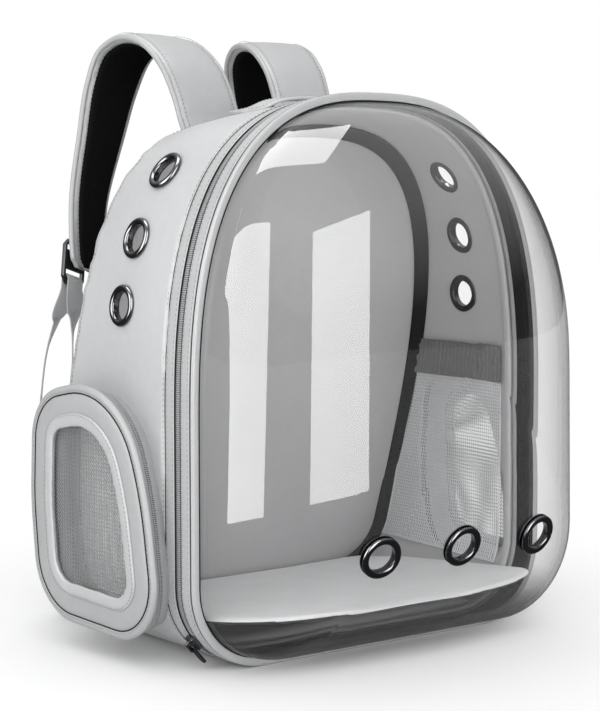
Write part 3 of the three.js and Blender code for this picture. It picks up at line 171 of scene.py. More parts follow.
def loft(name, rings, material, joined=False, start=None, end=None):
    """Skin through equal rings. joined closes the last ring to the first; start and end cap it."""
    rings = [np.asarray(r, float) for r in rings]
    count = len(rings[0])
    verts = np.concatenate(rings)
    around = np.concatenate([[0], np.cumsum(np.linalg.norm(np.roll(rings[0], -1, 0) - rings[0], axis=1))])
    steps = [np.linalg.norm(b - a, axis=1).mean() for a, b in zip(rings, rings[1:] + rings[:1])]
    across = np.concatenate([[0], np.cumsum(steps)])
    faces, uvs = [], []
    for k in range(len(rings) if joined else len(rings) - 1):
        here, there = k * count, ((k + 1) % len(rings)) * count
        for i in range(count):
            j = (i + 1) % count
            faces.append((here + i, here + j, there + j, there + i))
            uvs += [(around[i], across[k]), (around[i + 1], across[k]),
                    (around[i + 1], across[k + 1]), (around[i], across[k + 1])]
    for point, first in ((start, 0), (end, (len(rings) - 1) * count)):
        if point is None:
            continue
        verts = np.vstack([verts, point])
        tip = len(verts) - 1
        for i in range(count):
            faces.append((first + i, first + (i + 1) % count, tip))
            uvs += [(around[i], 0), (around[i + 1], 0), (around[i], 1)]
    return face_outward(shell_object(name, verts, faces, material, np.array(uvs) * MM))


def sheet_grid(name, grid, material, thickness=0.0):
    """Sheet through a grid of points, thickened inward where a thickness is given."""
    grid = np.asarray(grid, float)
    rows, columns = grid.shape[:2]
    u = np.concatenate([[0], np.cumsum(np.linalg.norm(np.diff(grid, axis=1), axis=2).mean(0))])
    v = np.concatenate([[0], np.cumsum(np.linalg.norm(np.diff(grid, axis=0), axis=2).mean(1))])
    faces, uvs = [], []
    for r in range(rows - 1):
        for c in range(columns - 1):
            a = r * columns + c
            faces.append((a, a + 1, a + columns + 1, a + columns))
            uvs += [(u[c], v[r]), (u[c + 1], v[r]), (u[c + 1], v[r + 1]), (u[c], v[r + 1])]
    piece = shell_object(name, grid.reshape(-1, 3), faces, material, np.array(uvs) * MM)
    if thickness:
        thick = piece.modifiers.new("wall", "SOLIDIFY")
        thick.thickness = thickness * MM
        thick.offset = 0
        settle(piece)
        face_outward(piece)
    return piece


def settle(piece):
    """Turns the piece's modifiers into plain mesh."""
    graph = bpy.context.evaluated_depsgraph_get()
    mesh = bpy.data.meshes.new_from_object(piece.evaluated_get(graph))
    piece.modifiers.clear()
    old = piece.data
    piece.data = mesh
    bpy.data.meshes.remove(old)
    return piece


def plumped(piece, voxel, cap, held):
    """Swells a pad with a cloth simulation, by no more than cap; held(point) names the points that stay."""
    even = piece.modifiers.new("even", "REMESH")
    even.mode = "VOXEL"
    even.voxel_size = voxel * MM
    settle(piece)
    start = [v.co.copy() for v in piece.data.vertices]
    group = piece.vertex_groups.new(name="held")
    group.add([k for k, place in enumerate(start) if held(place / MM)], 1.0, "REPLACE")
    swell = piece.modifiers.new("swell", "CLOTH")
    swell.settings.quality = CLOTH_QUALITY
    swell.settings.use_pressure = True
    swell.settings.uniform_pressure_force = PAD_PRESSURE
    swell.settings.effector_weights.gravity = 0
    swell.settings.vertex_group_mass = "held"
    swell.point_cache.frame_end = SWELL_STEPS
    for number in range(1, SWELL_STEPS + 1):
        bpy.context.scene.frame_set(number)
    settle(piece)
    bpy.context.scene.frame_set(1)
    for vertex, place in zip(piece.data.vertices, start):
        move = vertex.co - place
        if move.length > cap * MM:
            vertex.co = place + move.normalized() * cap * MM
    fine = piece.modifiers.new("fine", "SUBSURF")
    fine.levels = fine.render_levels = 1
    settle(piece)
    piece.data.polygons.foreach_set("use_smooth", [True] * len(piece.data.polygons))
    return face_outward(piece)


def smooth_by_angle(piece, degrees):
    """Shades a piece smoothly, apart from edges that are sharper than an angle."""
    work = bmesh.new()
    work.from_mesh(piece.data)
    for face in work.faces:
        face.smooth = True
    for edge in work.edges:
        edge.smooth = not edge.is_manifold or edge.calc_face_angle(0) < math.radians(degrees)
    work.to_mesh(piece.data)
    work.free()
    return piece


def cut_out(piece, tools):
    """Cuts closed tool pieces out of a piece and removes them."""
    for tool in tools:
        cutting = piece.modifiers.new("cut", "BOOLEAN")
        cutting.operation = "DIFFERENCE"
        cutting.solver = "EXACT"
        cutting.object = tool
    settle(piece)
    for tool in tools:
        bpy.data.objects.remove(tool)
    return piece


def dress(piece, slot, *nodes, body=BODY):
    """Seats a piece on its body in the place of the named solids."""
    if nodes:
        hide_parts(*nodes)
    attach(piece, body)
    return piece


def cast_copy(node, name, finish, width, segments):
    """A copy of a solid with its flat faces joined up and its edges rounded."""
    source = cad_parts[node]
    piece = source.copy()
    piece.data = source.data.copy()
    piece.parent = None
    for key in list(piece.keys()):
        del piece[key]
    piece.name = name
    bpy.context.scene.collection.objects.link(piece)
    work = bmesh.new()
    work.from_mesh(piece.data)
    bmesh.ops.remove_doubles(work, verts=work.verts, dist=MERGE_DISTANCE)
    bmesh.ops.dissolve_limit(work, angle_limit=math.radians(2), verts=work.verts, edges=work.edges)
    bmesh.ops.recalc_face_normals(work, faces=work.faces)
    work.to_mesh(piece.data)
    work.free()
    piece.data.materials.clear()
    piece.data.materials.append(finish)
    bevel = piece.modifiers.new("round", "BEVEL")
    bevel.width = width * MM
    bevel.segments = segments
    bevel.limit_method = "ANGLE"
    bevel.angle_limit = math.radians(35)
    settle(piece)
    return smooth_by_angle(piece, 40)


def mirror_copy(piece, name):
    """The same piece on the other side, with its faces turned outward again."""
    twin = piece.copy()
    twin.data = piece.data.copy()
    twin.name = name
    twin.data.name = name
    bpy.context.scene.collection.objects.link(twin)
    twin.data.transform(Matrix.Diagonal((-1, 1, 1, 1)))
    twin.data.flip_normals()
    return twin


def dress_both(piece, slot, node=None, twin_name=None):
    """Seats a right-hand piece and its mirror image, each in the place of its own solid if it has one."""
    twin = mirror_copy(piece, twin_name or piece.name.replace("right", "left"))
    for item, side in ((piece, "right"), (twin, "left")):
        dress(item, slot, *([f"{node}_{side}"] if node else []))


# Shader groups
def linear(*srgb):
    """A colour for a shader from the values that it has on a screen, 0 to 255."""
    def channel(c):
        c /= 255
        return c / 12.92 if c <= 0.04045 else ((c + 0.055) / 1.055) ** 2.4
    return tuple(channel(c) for c in srgb) + (1.0,)


class Wiring:
    """Short calls that add and link nodes in one tree."""

    def __init__(self, tree):
        self.tree = tree

    def add(self, kind, inputs=None, **settings):
        node = self.tree.nodes.new(kind)
        for key, value in settings.items():
            setattr(node, key, value)
        for key, value in (inputs or {}).items():
            self.set(node.inputs[key], value)
        return node

    def set(self, socket, value):
        if isinstance(value, bpy.types.NodeSocket):
            self.tree.links.new(value, socket)
        else:
            socket.default_value = value

    def math(self, operation, *values):
        node = self.add("ShaderNodeMath", operation=operation)
        for socket, value in zip(node.inputs, values):
            self.set(socket, value)
        return node.outputs[0]

    def group(self, tree, inputs):
        """One of the node groups, with its sockets set or linked."""
        return self.add("ShaderNodeGroup", inputs, node_tree=tree)

    def blend(self, share, first, second, kind="MIX"):
        node = self.add("ShaderNodeMix", data_type="RGBA", blend_type=kind)
        self.set(node.inputs["Factor"], share)
        self.set(node.inputs[6], first)
        self.set(node.inputs[7], second)
        return node.outputs[2]


def shader_group(name, inputs, outputs, build):
    """A shader node group with named sockets, filled in by build(wiring, entry, leave)."""
    tree = bpy.data.node_groups.new(name, "ShaderNodeTree")
    for label, kind, value in inputs:
        socket = tree.interface.new_socket(label, in_out="INPUT", socket_type=kind)
        if value is not None:
            socket.default_value = value
    for label, kind in outputs:
        tree.interface.new_socket(label, in_out="OUTPUT", socket_type=kind)
    wiring = Wiring(tree)
    entry, leave = tree.nodes.new("NodeGroupInput"), tree.nodes.new("NodeGroupOutput")
    build(wiring, entry.outputs, leave.inputs)
    return tree


F, C, VEC = "NodeSocketFloat", "NodeSocketColor", "NodeSocketVector"


def build_leather_grain(w, entry, leave):
    warp = w.add("ShaderNodeTexNoise", {"Vector": entry["Place"], "Scale": 260.0, "Detail": 2.0})
    cells = w.add("ShaderNodeTexVoronoi", {"Vector": entry["Place"], "Scale": entry["Pebbles"]},
                  feature="SMOOTH_F1")
    fine = w.math("MULTIPLY", warp.outputs[0], 0.5)
    w.set(leave["Height"], w.math("ADD", cells.outputs["Distance"], fine))


def build_soft_tone(w, entry, leave):
    broad = w.add("ShaderNodeTexNoise", {"Vector": entry["Place"], "Scale": entry["Broad"], "Detail": 3.0})
    fine = w.add("ShaderNodeTexNoise", {"Vector": entry["Place"], "Scale": entry["Fine"], "Detail": 4.0})
    mix = w.math("MULTIPLY_ADD", fine.outputs[0], 0.4, w.math("MULTIPLY", broad.outputs[0], 0.6))
    spread = w.add("ShaderNodeMapRange", {"Value": mix, "From Min": 0.3, "From Max": 0.7})
    w.set(leave["Colour"], w.blend(spread.outputs[0], entry["Shade"], entry["Light"]))
    rough = w.add("ShaderNodeMapRange", {"Value": mix, "From Min": 0.3, "From Max": 0.7,
                                        "To Min": entry["Rough Low"], "To Max": entry["Rough High"]})
    w.set(leave["Roughness"], rough.outputs[0])


def build_weave(w, entry, leave):
    parts = w.add("ShaderNodeSeparateXYZ", {"Vector": entry["Place"]})
    turn_u = w.math("MULTIPLY", parts.outputs[0], entry["Threads"])
    turn_v = w.math("MULTIPLY", parts.outputs[1], entry["Threads"])
    warp = w.math("ABSOLUTE", w.math("SINE", turn_u))
    weft = w.math("ABSOLUTE", w.math("SINE", turn_v))
    over = w.math("GREATER_THAN", w.math("SINE", w.math("ADD", turn_u, turn_v)), 0.0)
    rest = w.math("SUBTRACT", 1.0, over)
    height = w.math("ADD", w.math("MULTIPLY", warp, over), w.math("MULTIPLY", weft, rest))
    w.set(leave["Height"], height)
    w.set(leave["Shade"], w.blend(height, entry["Gap Colour"], entry["Thread Colour"]))


def build_pile(w, entry, leave):
    tufts = w.add("ShaderNodeTexVoronoi", {"Vector": entry["Place"], "Scale": entry["Tufts"]})
    drift = w.add("ShaderNodeTexNoise", {"Vector": entry["Place"], "Scale": 38.0, "Detail": 4.0})
    wander = w.math("MULTIPLY", drift.outputs[0], 0.8)
    w.set(leave["Height"], w.math("ADD", tufts.outputs["Distance"], wander))
    w.set(leave["Colour"], w.blend(drift.outputs[0], entry["Shade"], entry["Light"]))


def build_rub(w, entry, leave):
    streak = w.add("ShaderNodeTexNoise", {"Vector": entry["Place"], "Scale": entry["Scale"], "Detail": 6.0,
                                         "Roughness": 0.7})
    spots = w.add("ShaderNodeMapRange", {"Value": streak.outputs[0], "From Min": 0.45, "From Max": 0.75})
    edge = w.add("ShaderNodeNewGeometry")
    worn = w.add("ShaderNodeMapRange", {"Value": edge.outputs["Pointiness"],
                                       "From Min": 0.5, "From Max": 0.62})
    rub = w.math("MAXIMUM", w.math("MULTIPLY", spots.outputs[0], 0.35), worn.outputs[0])
    w.set(leave["Rub"], w.math("MINIMUM", rub, 1.0))


LEATHER_GRAIN = shader_group("Leather Grain", [("Place", VEC, None), ("Pebbles", F, 900.0)],
                             [("Height", F)], build_leather_grain)
SOFT_TONE = shader_group(
    "Soft Tone",
    [("Place", VEC, None), ("Broad", F, 9.0), ("Fine", F, 160.0), ("Shade", C, None), ("Light", C, None),
     ("Rough Low", F, 0.4), ("Rough High", F, 0.6)],
    [("Colour", C), ("Roughness", F)], build_soft_tone)
WEAVE = shader_group(
    "Cloth Weave",
    [("Place", VEC, None), ("Threads", F, 3000.0), ("Gap Colour", C, None), ("Thread Colour", C, None)],
    [("Height", F), ("Shade", C)], build_weave)
PILE = shader_group(
    "Short Pile",
    [("Place", VEC, None), ("Tufts", F, 900.0), ("Shade", C, None), ("Light", C, None)],
    [("Height", F), ("Colour", C)], build_pile)
RUB = shader_group("Rubbed Edges", [("Place", VEC, None), ("Scale", F, 300.0)], [("Rub", F)], build_rub)


# Materials
def shaded(colour, share):
    return tuple(c * share for c in colour[:3]) + (1.0,)


def start_material(name, **fixed):
    """A new material with plain values on its shader's sockets, and what builds its nodes."""
    material = bpy.data.materials.new(name)
    material.use_nodes = True
    w = Wiring(material.node_tree)
    principled = material.node_tree.nodes["Principled BSDF"]
    for key, value in fixed.items():
        principled.inputs[key.replace("_", " ")].default_value = value
    place = w.add("ShaderNodeTexCoord")
    return material, w, principled, place


def bump(w, principled, height, strength, distance):
    node = w.add("ShaderNodeBump", {"Height": height, "Strength": strength, "Distance": distance * MM})
    w.set(principled.inputs["Normal"], node.outputs[0])


def leatherette_material(name, colour, rough=(0.42, 0.56), pebbles=850.0, depth=0.10):
    """Pebbled coated cloth with soft changes of tone; depth of the grain in millimetres."""
    material, w, principled, place = start_material(name, Specular_IOR_Level=0.45)
    where = place.outputs["Object"]
    tone = w.group(SOFT_TONE, {"Place": where, "Shade": shaded(colour, 0.93), "Light": shaded(colour, 1.03),
                               "Rough Low": rough[0], "Rough High": rough[1]})
    grain = w.group(LEATHER_GRAIN, {"Place": where, "Pebbles": pebbles})
    w.set(principled.inputs["Base Color"], tone.outputs["Colour"])
    w.set(principled.inputs["Roughness"], tone.outputs["Roughness"])
    bump(w, principled, grain.outputs["Height"], 0.35, depth)
    return material


def woven_material(name, colour, threads, rough=0.75, on_uv=True, depth=0.25, gap=0.55, sheen=0.15):
    """Plain weave that follows the piece's own UV map, or its X and Z where it has none."""
    material, w, principled, place = start_material(
        name, Sheen_Weight=sheen, Roughness=rough, Specular_IOR_Level=0.08)
    where = place.outputs["UV"]
    if not on_uv:
        parts = w.add("ShaderNodeSeparateXYZ", {"Vector": place.outputs["Object"]})
        where = w.add("ShaderNodeCombineXYZ", {"X": parts.outputs[0], "Y": parts.outputs[2]}).outputs[0]
    weave = w.group(WEAVE, {"Place": where, "Threads": threads, "Gap Colour": shaded(colour, gap),
                            "Thread Colour": shaded(colour, 1.05)})
    tone = w.group(SOFT_TONE, {"Place": place.outputs["Object"], "Shade": (0.9, 0.9, 0.9, 1),
                               "Light": (1, 1, 1, 1)})
    cloth = w.blend(1.0, weave.outputs["Shade"], tone.outputs["Colour"], "MULTIPLY")
    w.set(principled.inputs["Base Color"], cloth)
    bump(w, principled, weave.outputs["Height"], 0.6, depth)
    return material


def pile_material(name, colour):
    material, w, principled, place = start_material(name, Sheen_Weight=0.35, Roughness=0.9)
    pile = w.group(PILE, {"Place": place.outputs["Object"], "Tufts": 1100.0, "Shade": shaded(colour, 0.9),
                          "Light": shaded(colour, 1.06)})
    w.set(principled.inputs["Base Color"], pile.outputs["Colour"])
    bump(w, principled, pile.outputs["Height"], 0.5, 0.5)
    return material


def metal_material(name, colour, bright, rough):
    material, w, principled, place = start_material(name, Metallic=1.0)
    rub = w.group(RUB, {"Place": place.outputs["Object"]})
    w.set(principled.inputs["Base Color"], w.blend(rub.outputs["Rub"], colour, bright))
    spread = w.add("ShaderNodeMapRange", {"Value": rub.outputs["Rub"], "To Min": rough,
                                         "To Max": rough + 0.15})
    w.set(principled.inputs["Roughness"], spread.outputs[0])
    return material


def plastic_material(name, colour, rough):
    material, w, principled, place = start_material(name, Specular_IOR_Level=0.4)
    tone = w.group(SOFT_TONE, {"Place": place.outputs["Object"], "Fine": 900.0,
                               "Shade": shaded(colour, 0.8), "Light": shaded(colour, 1.3),
                               "Rough Low": rough - 0.08, "Rough High": rough + 0.1})
    w.set(principled.inputs["Base Color"], tone.outputs["Colour"])
    w.set(principled.inputs["Roughness"], tone.outputs["Roughness"])
    fine = w.add("ShaderNodeTexNoise", {"Vector": place.outputs["Object"], "Scale": 2500.0})
    bump(w, principled, fine.outputs[0], 0.15, 0.05)
    return material


def clear_material(name):
    """Clear plastic with faint smears, open to the lights on what it covers; painted shade darkens it low
    down and where it turns away.
    """
    material, w, principled, place = start_material(name, IOR=1.46, Transmission_Weight=1.0, Roughness=0.0)
    smear = w.add("ShaderNodeTexNoise", {"Vector": place.outputs["Object"], "Scale": 14.0, "Detail": 5.0})
    facing = w.add("ShaderNodeLayerWeight", {"Blend": 0.5})
    turned = w.math("POWER", facing.outputs["Facing"], 1.3)
    parts = w.add("ShaderNodeSeparateXYZ", {"Vector": place.outputs["Object"]})
    # Painted shade: the tint darkens towards the bottom, standing in for the shade under the mat.
    painted_low_shade = w.add("ShaderNodeMapRange", {"Value": parts.outputs[2], "From Min": 0.018, "From Max": 0.046,
                                        "To Min": 0.36, "To Max": 1.0})
    # Painted shade along the edges that turn away, with faint random smears on top.
    thick = w.math("MULTIPLY_ADD", turned, -0.28, w.math("MULTIPLY_ADD", smear.outputs[0], 0.02, 0.962))
    tint = w.math("MULTIPLY", thick, painted_low_shade.outputs[0])
    grey = w.add("ShaderNodeCombineColor", {"Red": tint, "Green": tint, "Blue": tint})
    w.set(principled.inputs["Base Color"], grey.outputs[0])
    through = w.add("ShaderNodeBsdfTransparent", {"Color": (0.97, 0.97, 0.97, 1)})
    path = w.add("ShaderNodeLightPath")
    soft = w.math("MAXIMUM", path.outputs["Is Shadow Ray"], path.outputs["Is Diffuse Ray"])
    mixed = w.add("ShaderNodeMixShader", {0: soft, 1: principled.outputs[0], 2: through.outputs[0]})
    w.set(material.node_tree.nodes["Material Output"].inputs["Surface"], mixed.outputs[0])
    return material


LEATHERETTE = leatherette_material("light grey leatherette", linear(195, 196, 197))
BORDER_LEATHERETTE = leatherette_material("border leatherette", linear(184, 185, 186))
POCKET_LEATHERETTE = leatherette_material("pocket leatherette", linear(173, 174, 175))
STRAP_LEATHERETTE = leatherette_material("strap leatherette", linear(181, 182, 183))
EDGE_GREY = leatherette_material("light grey edging", linear(182, 183, 184), rough=(0.3, 0.42), depth=0.05)
TRIM_LIGHT = leatherette_material("pale window edging", linear(190, 191, 192), rough=(0.35, 0.5), depth=0.05)
LINING_GREY = leatherette_material("smooth grey lining", linear(197, 197, 198), rough=(0.5, 0.62),
                                   pebbles=2600.0, depth=0.015)
BACK_LINING = leatherette_material("back panel lining", linear(198, 198, 199), rough=(0.5, 0.62),
                                   pebbles=2600.0, depth=0.015)
# The mat's underside: its dark colour is painted shade for the space under the mat.
MAT_UNDERSIDE_SHADE = plastic_material("mat underside dark as painted shade", linear(52, 52, 53), 0.7)
# The pockets' real lining, made pale as painted light where light comes in through the window.
POCKET_LINING_PAINTED_LIGHT = leatherette_material("pale pocket lining", linear(226, 227, 228), rough=(0.6, 0.75),
                                     depth=0.03)
BACK_CLOTH = woven_material("back panel cloth", linear(150, 151, 152), 2600.0, on_uv=False)
TAPE_DARK = woven_material("dark binding tape", linear(17, 16, 18), 3600.0, gap=0.4, sheen=0.0)
SEAM_DARK = woven_material("shadowed seam tape", linear(38, 38, 39), 3600.0, gap=0.5, sheen=0.0)
ZIP_TAPE = woven_material("zip tape", linear(112, 113, 114), 5200.0)
ZIP_COIL = plastic_material("zip coil", linear(162, 163, 165), 0.45)
DARK_METAL = metal_material("shaded gunmetal", linear(38, 38, 39), linear(92, 92, 94), 0.2)
GUNMETAL = metal_material("gunmetal", linear(70, 70, 72), linear(150, 150, 152), 0.16)
NET_THREAD = plastic_material("net thread", linear(236, 237, 238), 0.6)
NET_DARK = plastic_material("pocket net thread", linear(142, 144, 144), 0.6)
MAT_PILE = pile_material("mat pile", linear(238, 239, 240))
STRAP_BLACK = woven_material("black air mesh", linear(8, 8, 9), 2400.0, rough=0.95, gap=0.3, depth=0.5,
                             sheen=0.0)
BUCKLE_BLACK = plastic_material("black plastic", linear(30, 30, 32), 0.42)
WEBBING = woven_material("grey webbing", linear(200, 202, 203), 3400.0, gap=0.6)
THREAD = plastic_material("sewing thread", linear(150, 151, 152), 0.7)
CLEAR = clear_material("clear plastic")


# Geometry node trees for what repeats
def node_tree(name, inputs):
    tree = bpy.data.node_groups.new(name, "GeometryNodeTree")
    tree.interface.new_socket("Geometry", in_out="INPUT", socket_type="NodeSocketGeometry")
    for label, kind, value in inputs:
        socket = tree.interface.new_socket(label, in_out="INPUT", socket_type=kind)
        if value is not None:
            socket.default_value = value
    tree.interface.new_socket("Geometry", in_out="OUTPUT", socket_type="NodeSocketGeometry")
    return tree, Wiring(tree), tree.nodes.new("NodeGroupInput"), tree.nodes.new("NodeGroupOutput")


def finish_tree(w, geometry, entry, leave):
    real = w.add("GeometryNodeRealizeInstances", {"Geometry": geometry})
    dyed = w.add("GeometryNodeSetMaterial", {"Geometry": real.outputs[0],
                                             "Material": entry.outputs["Finish"]})
    w.set(leave.inputs[0], dyed.outputs[0])


def beads_along(w, entry, **placing):
    """Small round bodies a pitch apart along the piece's loose edges."""
    curve = w.add("GeometryNodeMeshToCurve", {"Mesh": entry.outputs[0]})
    spaced = w.add("GeometryNodeResampleCurve", {"Curve": curve.outputs[0], "Length": entry.outputs["Pitch"]},
                   mode="LENGTH")
    bead = w.add("GeometryNodeMeshIcoSphere", {"Radius": 1.0, "Subdivisions": 2})
    placed = w.add("GeometryNodeInstanceOnPoints", {"Points": spaced.outputs[0], "Instance": bead.outputs[0],
                                                   **placing})
    return placed.outputs[0]


def build_stitch_tree():
    tree, w, entry, leave = node_tree("Stitches Along A Seam", [
        ("Pitch", F, 0.0036), ("Stitch Length", F, 0.0027), ("Thread Radius", F, 0.00036),
        ("Finish", "NodeSocketMaterial", None)])
    way = w.add("GeometryNodeInputTangent")
    turn = w.add("FunctionNodeAlignRotationToVector", {"Vector": way.outputs[0]}, axis="X")
    size = w.add("ShaderNodeCombineXYZ", {"X": w.math("MULTIPLY", entry.outputs["Stitch Length"], 0.5),
                                         "Y": entry.outputs["Thread Radius"],
                                         "Z": entry.outputs["Thread Radius"]})
    finish_tree(w, beads_along(w, entry, Rotation=turn.outputs[0], Scale=size.outputs[0]), entry, leave)
    return tree


def build_coil_tree():
    tree, w, entry, leave = node_tree("Zip Coil Along A Path", [
        ("Pitch", F, 0.0015), ("Coil Half Size", VEC, (0.00055, 0.0026, 0.0006)),
        ("Finish", "NodeSocketMaterial", None)])
    finish_tree(w, beads_along(w, entry, Scale=entry.outputs["Coil Half Size"]), entry, leave)
    return tree


def build_net_tree():
    tree, w, entry, leave = node_tree("Net Of Open Cells", [
        ("Thread Radius", F, 0.0003), ("Finish", "NodeSocketMaterial", None)])
    halves = w.add("GeometryNodeTriangulate", {"Mesh": entry.outputs[0]}, quad_method="FIXED")
    cells = w.add("GeometryNodeDualMesh", {"Mesh": halves.outputs[0], "Keep Boundaries": True})
    lines = w.add("GeometryNodeMeshToCurve", {"Mesh": cells.outputs[0]})
    ring = w.add("GeometryNodeCurvePrimitiveCircle", {"Resolution": 4,
                                                      "Radius": entry.outputs["Thread Radius"]})
    threads = w.add("GeometryNodeCurveToMesh", {"Curve": lines.outputs[0], "Profile Curve": ring.outputs[0]})
    finish_tree(w, threads.outputs[0], entry, leave)
    return tree


STITCH_TREE = build_stitch_tree()
COIL_TREE = build_coil_tree()
NET_TREE = build_net_tree()


def grown(piece, tree, **values):
    """Runs a geometry node tree on a piece and keeps the result as plain mesh."""
    growth = piece.modifiers.new("grown", "NODES")
    growth.node_group = tree
    for item in tree.interface.items_tree:
        if item.in_out == "INPUT" and item.name in values:
            growth[item.identifier] = values[item.name]
    settle(piece)
    piece.data.polygons.foreach_set("use_smooth", [True] * len(piece.data.polygons))
    return piece


def path_object(name, paths):
    """Loose edge paths, each a list of millimetre points; a path given as closed joins up."""
    verts, edges = [], []
    for points, closed in paths:
        first = len(verts)
        verts += [tuple(p) for p in np.asarray(points) * MM]
        edges += [(first + k, first + k + 1) for k in range(len(points) - 1)]
        if closed:
            edges.append((len(verts) - 1, first))
    mesh = bpy.data.meshes.new(name)
    mesh.from_pydata(verts, edges, [])
    piece = bpy.data.objects.new(name, mesh)
    bpy.context.scene.collection.objects.link(piece)
    return piece


def stitches(name, paths, finish, slot, radius, pitch=3.6, length=2.6):
    """Rows of stitches along (path, closed) pairs."""
    piece = grown(path_object(name, paths), STITCH_TREE, Pitch=pitch * MM, **{
        "Stitch Length": length * MM, "Thread Radius": radius * MM, "Finish": finish})
    return dress(piece, slot)


# Camera and light, first of all: the photo's frame in pixels, and angles in degrees
PHOTO_WIDTH, PHOTO_HEIGHT, PHOTO_FOCAL = 600, 711, 1706.0
CAMERA_AZIMUTH, CAMERA_ELEVATION, CAMERA_DISTANCE = -35.75, 4.83, 1.2726
CAMERA_SIDEWAYS, CAMERA_TARGET = -0.0584, (0, -0.115, 0.2192)
SENSOR_WIDTH = 36
KEY_PLACE, KEY_STRENGTH, KEY_ANGLE = Vector((-0.9, -0.75, 1.3)), 0.45, 70
FLOOR_HALF = 30


def set_camera():
    a, e = math.radians(CAMERA_AZIMUTH), math.radians(CAMERA_ELEVATION)
    right = Vector((math.cos(a), math.sin(a), 0))
    back = Vector((math.sin(a) * math.cos(e), -math.cos(a) * math.cos(e), math.sin(e)))
    up = back.cross(right)
    target = Vector(CAMERA_TARGET) + right * CAMERA_SIDEWAYS
    data = bpy.data.cameras.new("camera")
    data.sensor_width = SENSOR_WIDTH
    data.lens = PHOTO_FOCAL / PHOTO_HEIGHT * SENSOR_WIDTH
    camera = bpy.data.objects.new("camera", data)
    spin = Matrix((right, up, back)).transposed().to_4x4()
    camera.matrix_world = Matrix.Translation(target + back * CAMERA_DISTANCE) @ spin
    bpy.context.scene.collection.objects.link(camera)
    bpy.context.scene.camera = camera


def set_key_light():
    """A wide, even light from the upper left of the front."""
    data = bpy.data.lights.new("key", "SUN")
    data.energy = KEY_STRENGTH
    data.angle = math.radians(KEY_ANGLE)
    lamp = bpy.data.objects.new("key", data)
    spin = (-KEY_PLACE).to_track_quat("-Z", "Y").to_matrix().to_4x4()
    lamp.matrix_world = Matrix.Translation(KEY_PLACE) @ spin
    lamp.visible_camera = False
    lamp.visible_glossy = False
    bpy.context.scene.collection.objects.link(lamp)


def set_studio():
    """White surroundings, of which the object mirrors only a dim room with a bright ceiling."""
    scene = bpy.context.scene
    scene.view_settings.view_transform = "Standard"
    world = bpy.data.worlds.new("studio")
    scene.world = world
    world.use_nodes = True
    w = Wiring(world.node_tree)
    sky = world.node_tree.nodes["Background"]
    path = w.add("ShaderNodeLightPath")
    mirrored = w.math("GREATER_THAN", path.outputs["Glossy Depth"], 0.5)
    way = w.add("ShaderNodeSeparateXYZ", {"Vector": w.add("ShaderNodeTexCoord").outputs["Generated"]})
    height = w.add("ShaderNodeMapRange", {"Value": way.outputs[2], "From Min": 0.25, "From Max": 0.7})
    room = w.blend(height.outputs[0], (0.10, 0.10, 0.105, 1), (0.95, 0.95, 0.95, 1))
    w.set(sky.inputs["Color"], w.blend(mirrored, (1, 1, 1, 1), room))
    sky.inputs["Strength"].default_value = 1.0
    set_key_light()
    material, w, principled, place = start_material("studio floor", Roughness=0.85)
    sweep = w.add("ShaderNodeTexNoise", {"Vector": place.outputs["Object"], "Scale": 0.4})
    pale = w.blend(sweep.outputs[0], (0.95, 0.95, 0.95, 1), (0.96, 0.96, 0.96, 1))
    w.set(principled.inputs["Base Color"], pale)
    mesh = bpy.data.meshes.new("studio_floor")
    corners = [(a * FLOOR_HALF, b * FLOOR_HALF, 0) for a, b in ((-1, -1), (1, -1), (1, 1), (-1, 1))]
    mesh.from_pydata(corners, [], [(0, 1, 2, 3)])
    mesh.materials.append(material)
    floor = bpy.data.objects.new("studio_floor", mesh)
    floor.visible_glossy = False
    scene.collection.objects.link(floor)


set_camera()
set_studio()


# The side pockets, and their corners as shares of length and height with their rounding
POCKET = dict(front=-90, length=149, floor=18, height=181, flare=8, window=30, opening=18,
              face_front=FRONT["width"] / 2 + 18.1, face_rear=BACK["width"] / 2 + 32)
POCKET_CORNERS = [(-0.079, -0.011, 0.3), (0.939, 0.021, 0.34), (1, 0.502, 1.5), (0.973, 0.946, 0.29),
                  (0.25, 1.067, 0.495), (0.029, 0.585, 1.7)]
POCKET_ARC_STEPS, POCKET_RUN_STEPS, POCKET_LEAST_RADIUS = 14, 8, 9


# Walls and bands
def pocket_outline(inset):
    """Points of the pocket's outline as y and z, with its corners rounded."""
    raw = [(np.array([POCKET["front"] + a * POCKET["length"], POCKET["floor"] + u * POCKET["height"]]),
            r * POCKET["length"]) for a, u, r in POCKET_CORNERS]
    count = len(raw)
    runs, starts = [], []
    for k in range(count):
        run = raw[(k + 1) % count][0] - raw[k][0]
        run = run / np.linalg.norm(run)
        runs.append(run)
        starts.append(raw[k][0] + np.array([-run[1], run[0]]) * inset)
    arcs = []
    for k in range(count):
        before, after = runs[k - 1], runs[k]
        offset = starts[k] - starts[k - 1]
        cross = before[0] * after[1] - before[1] * after[0]
        point = starts[k - 1] + before * ((offset[0] * after[1] - offset[1] * after[0]) / cross)
        radius = max(raw[k][1] - inset, POCKET_LEAST_RADIUS)
        bend = math.acos(np.clip(before @ after, -1, 1))
        begin = point - before * radius * math.tan(bend / 2)
        centre = begin + np.array([-before[1], before[0]]) * radius
        spoke = begin - centre
        arcs.append([centre + np.array([spoke[0] * math.cos(t) - spoke[1] * math.sin(t),
                                        spoke[0] * math.sin(t) + spoke[1] * math.cos(t)])
                     for t in np.linspace(0, bend, POCKET_ARC_STEPS + 1)])
    points = []
    for k in range(count):
        points += arcs[k]
        last, first = arcs[k][-1], arcs[(k + 1) % count][0]
        points += [last + (first - last) * s for s in np.linspace(0, 1, POCKET_RUN_STEPS + 2)[1:-1]]
    return np.array(points)


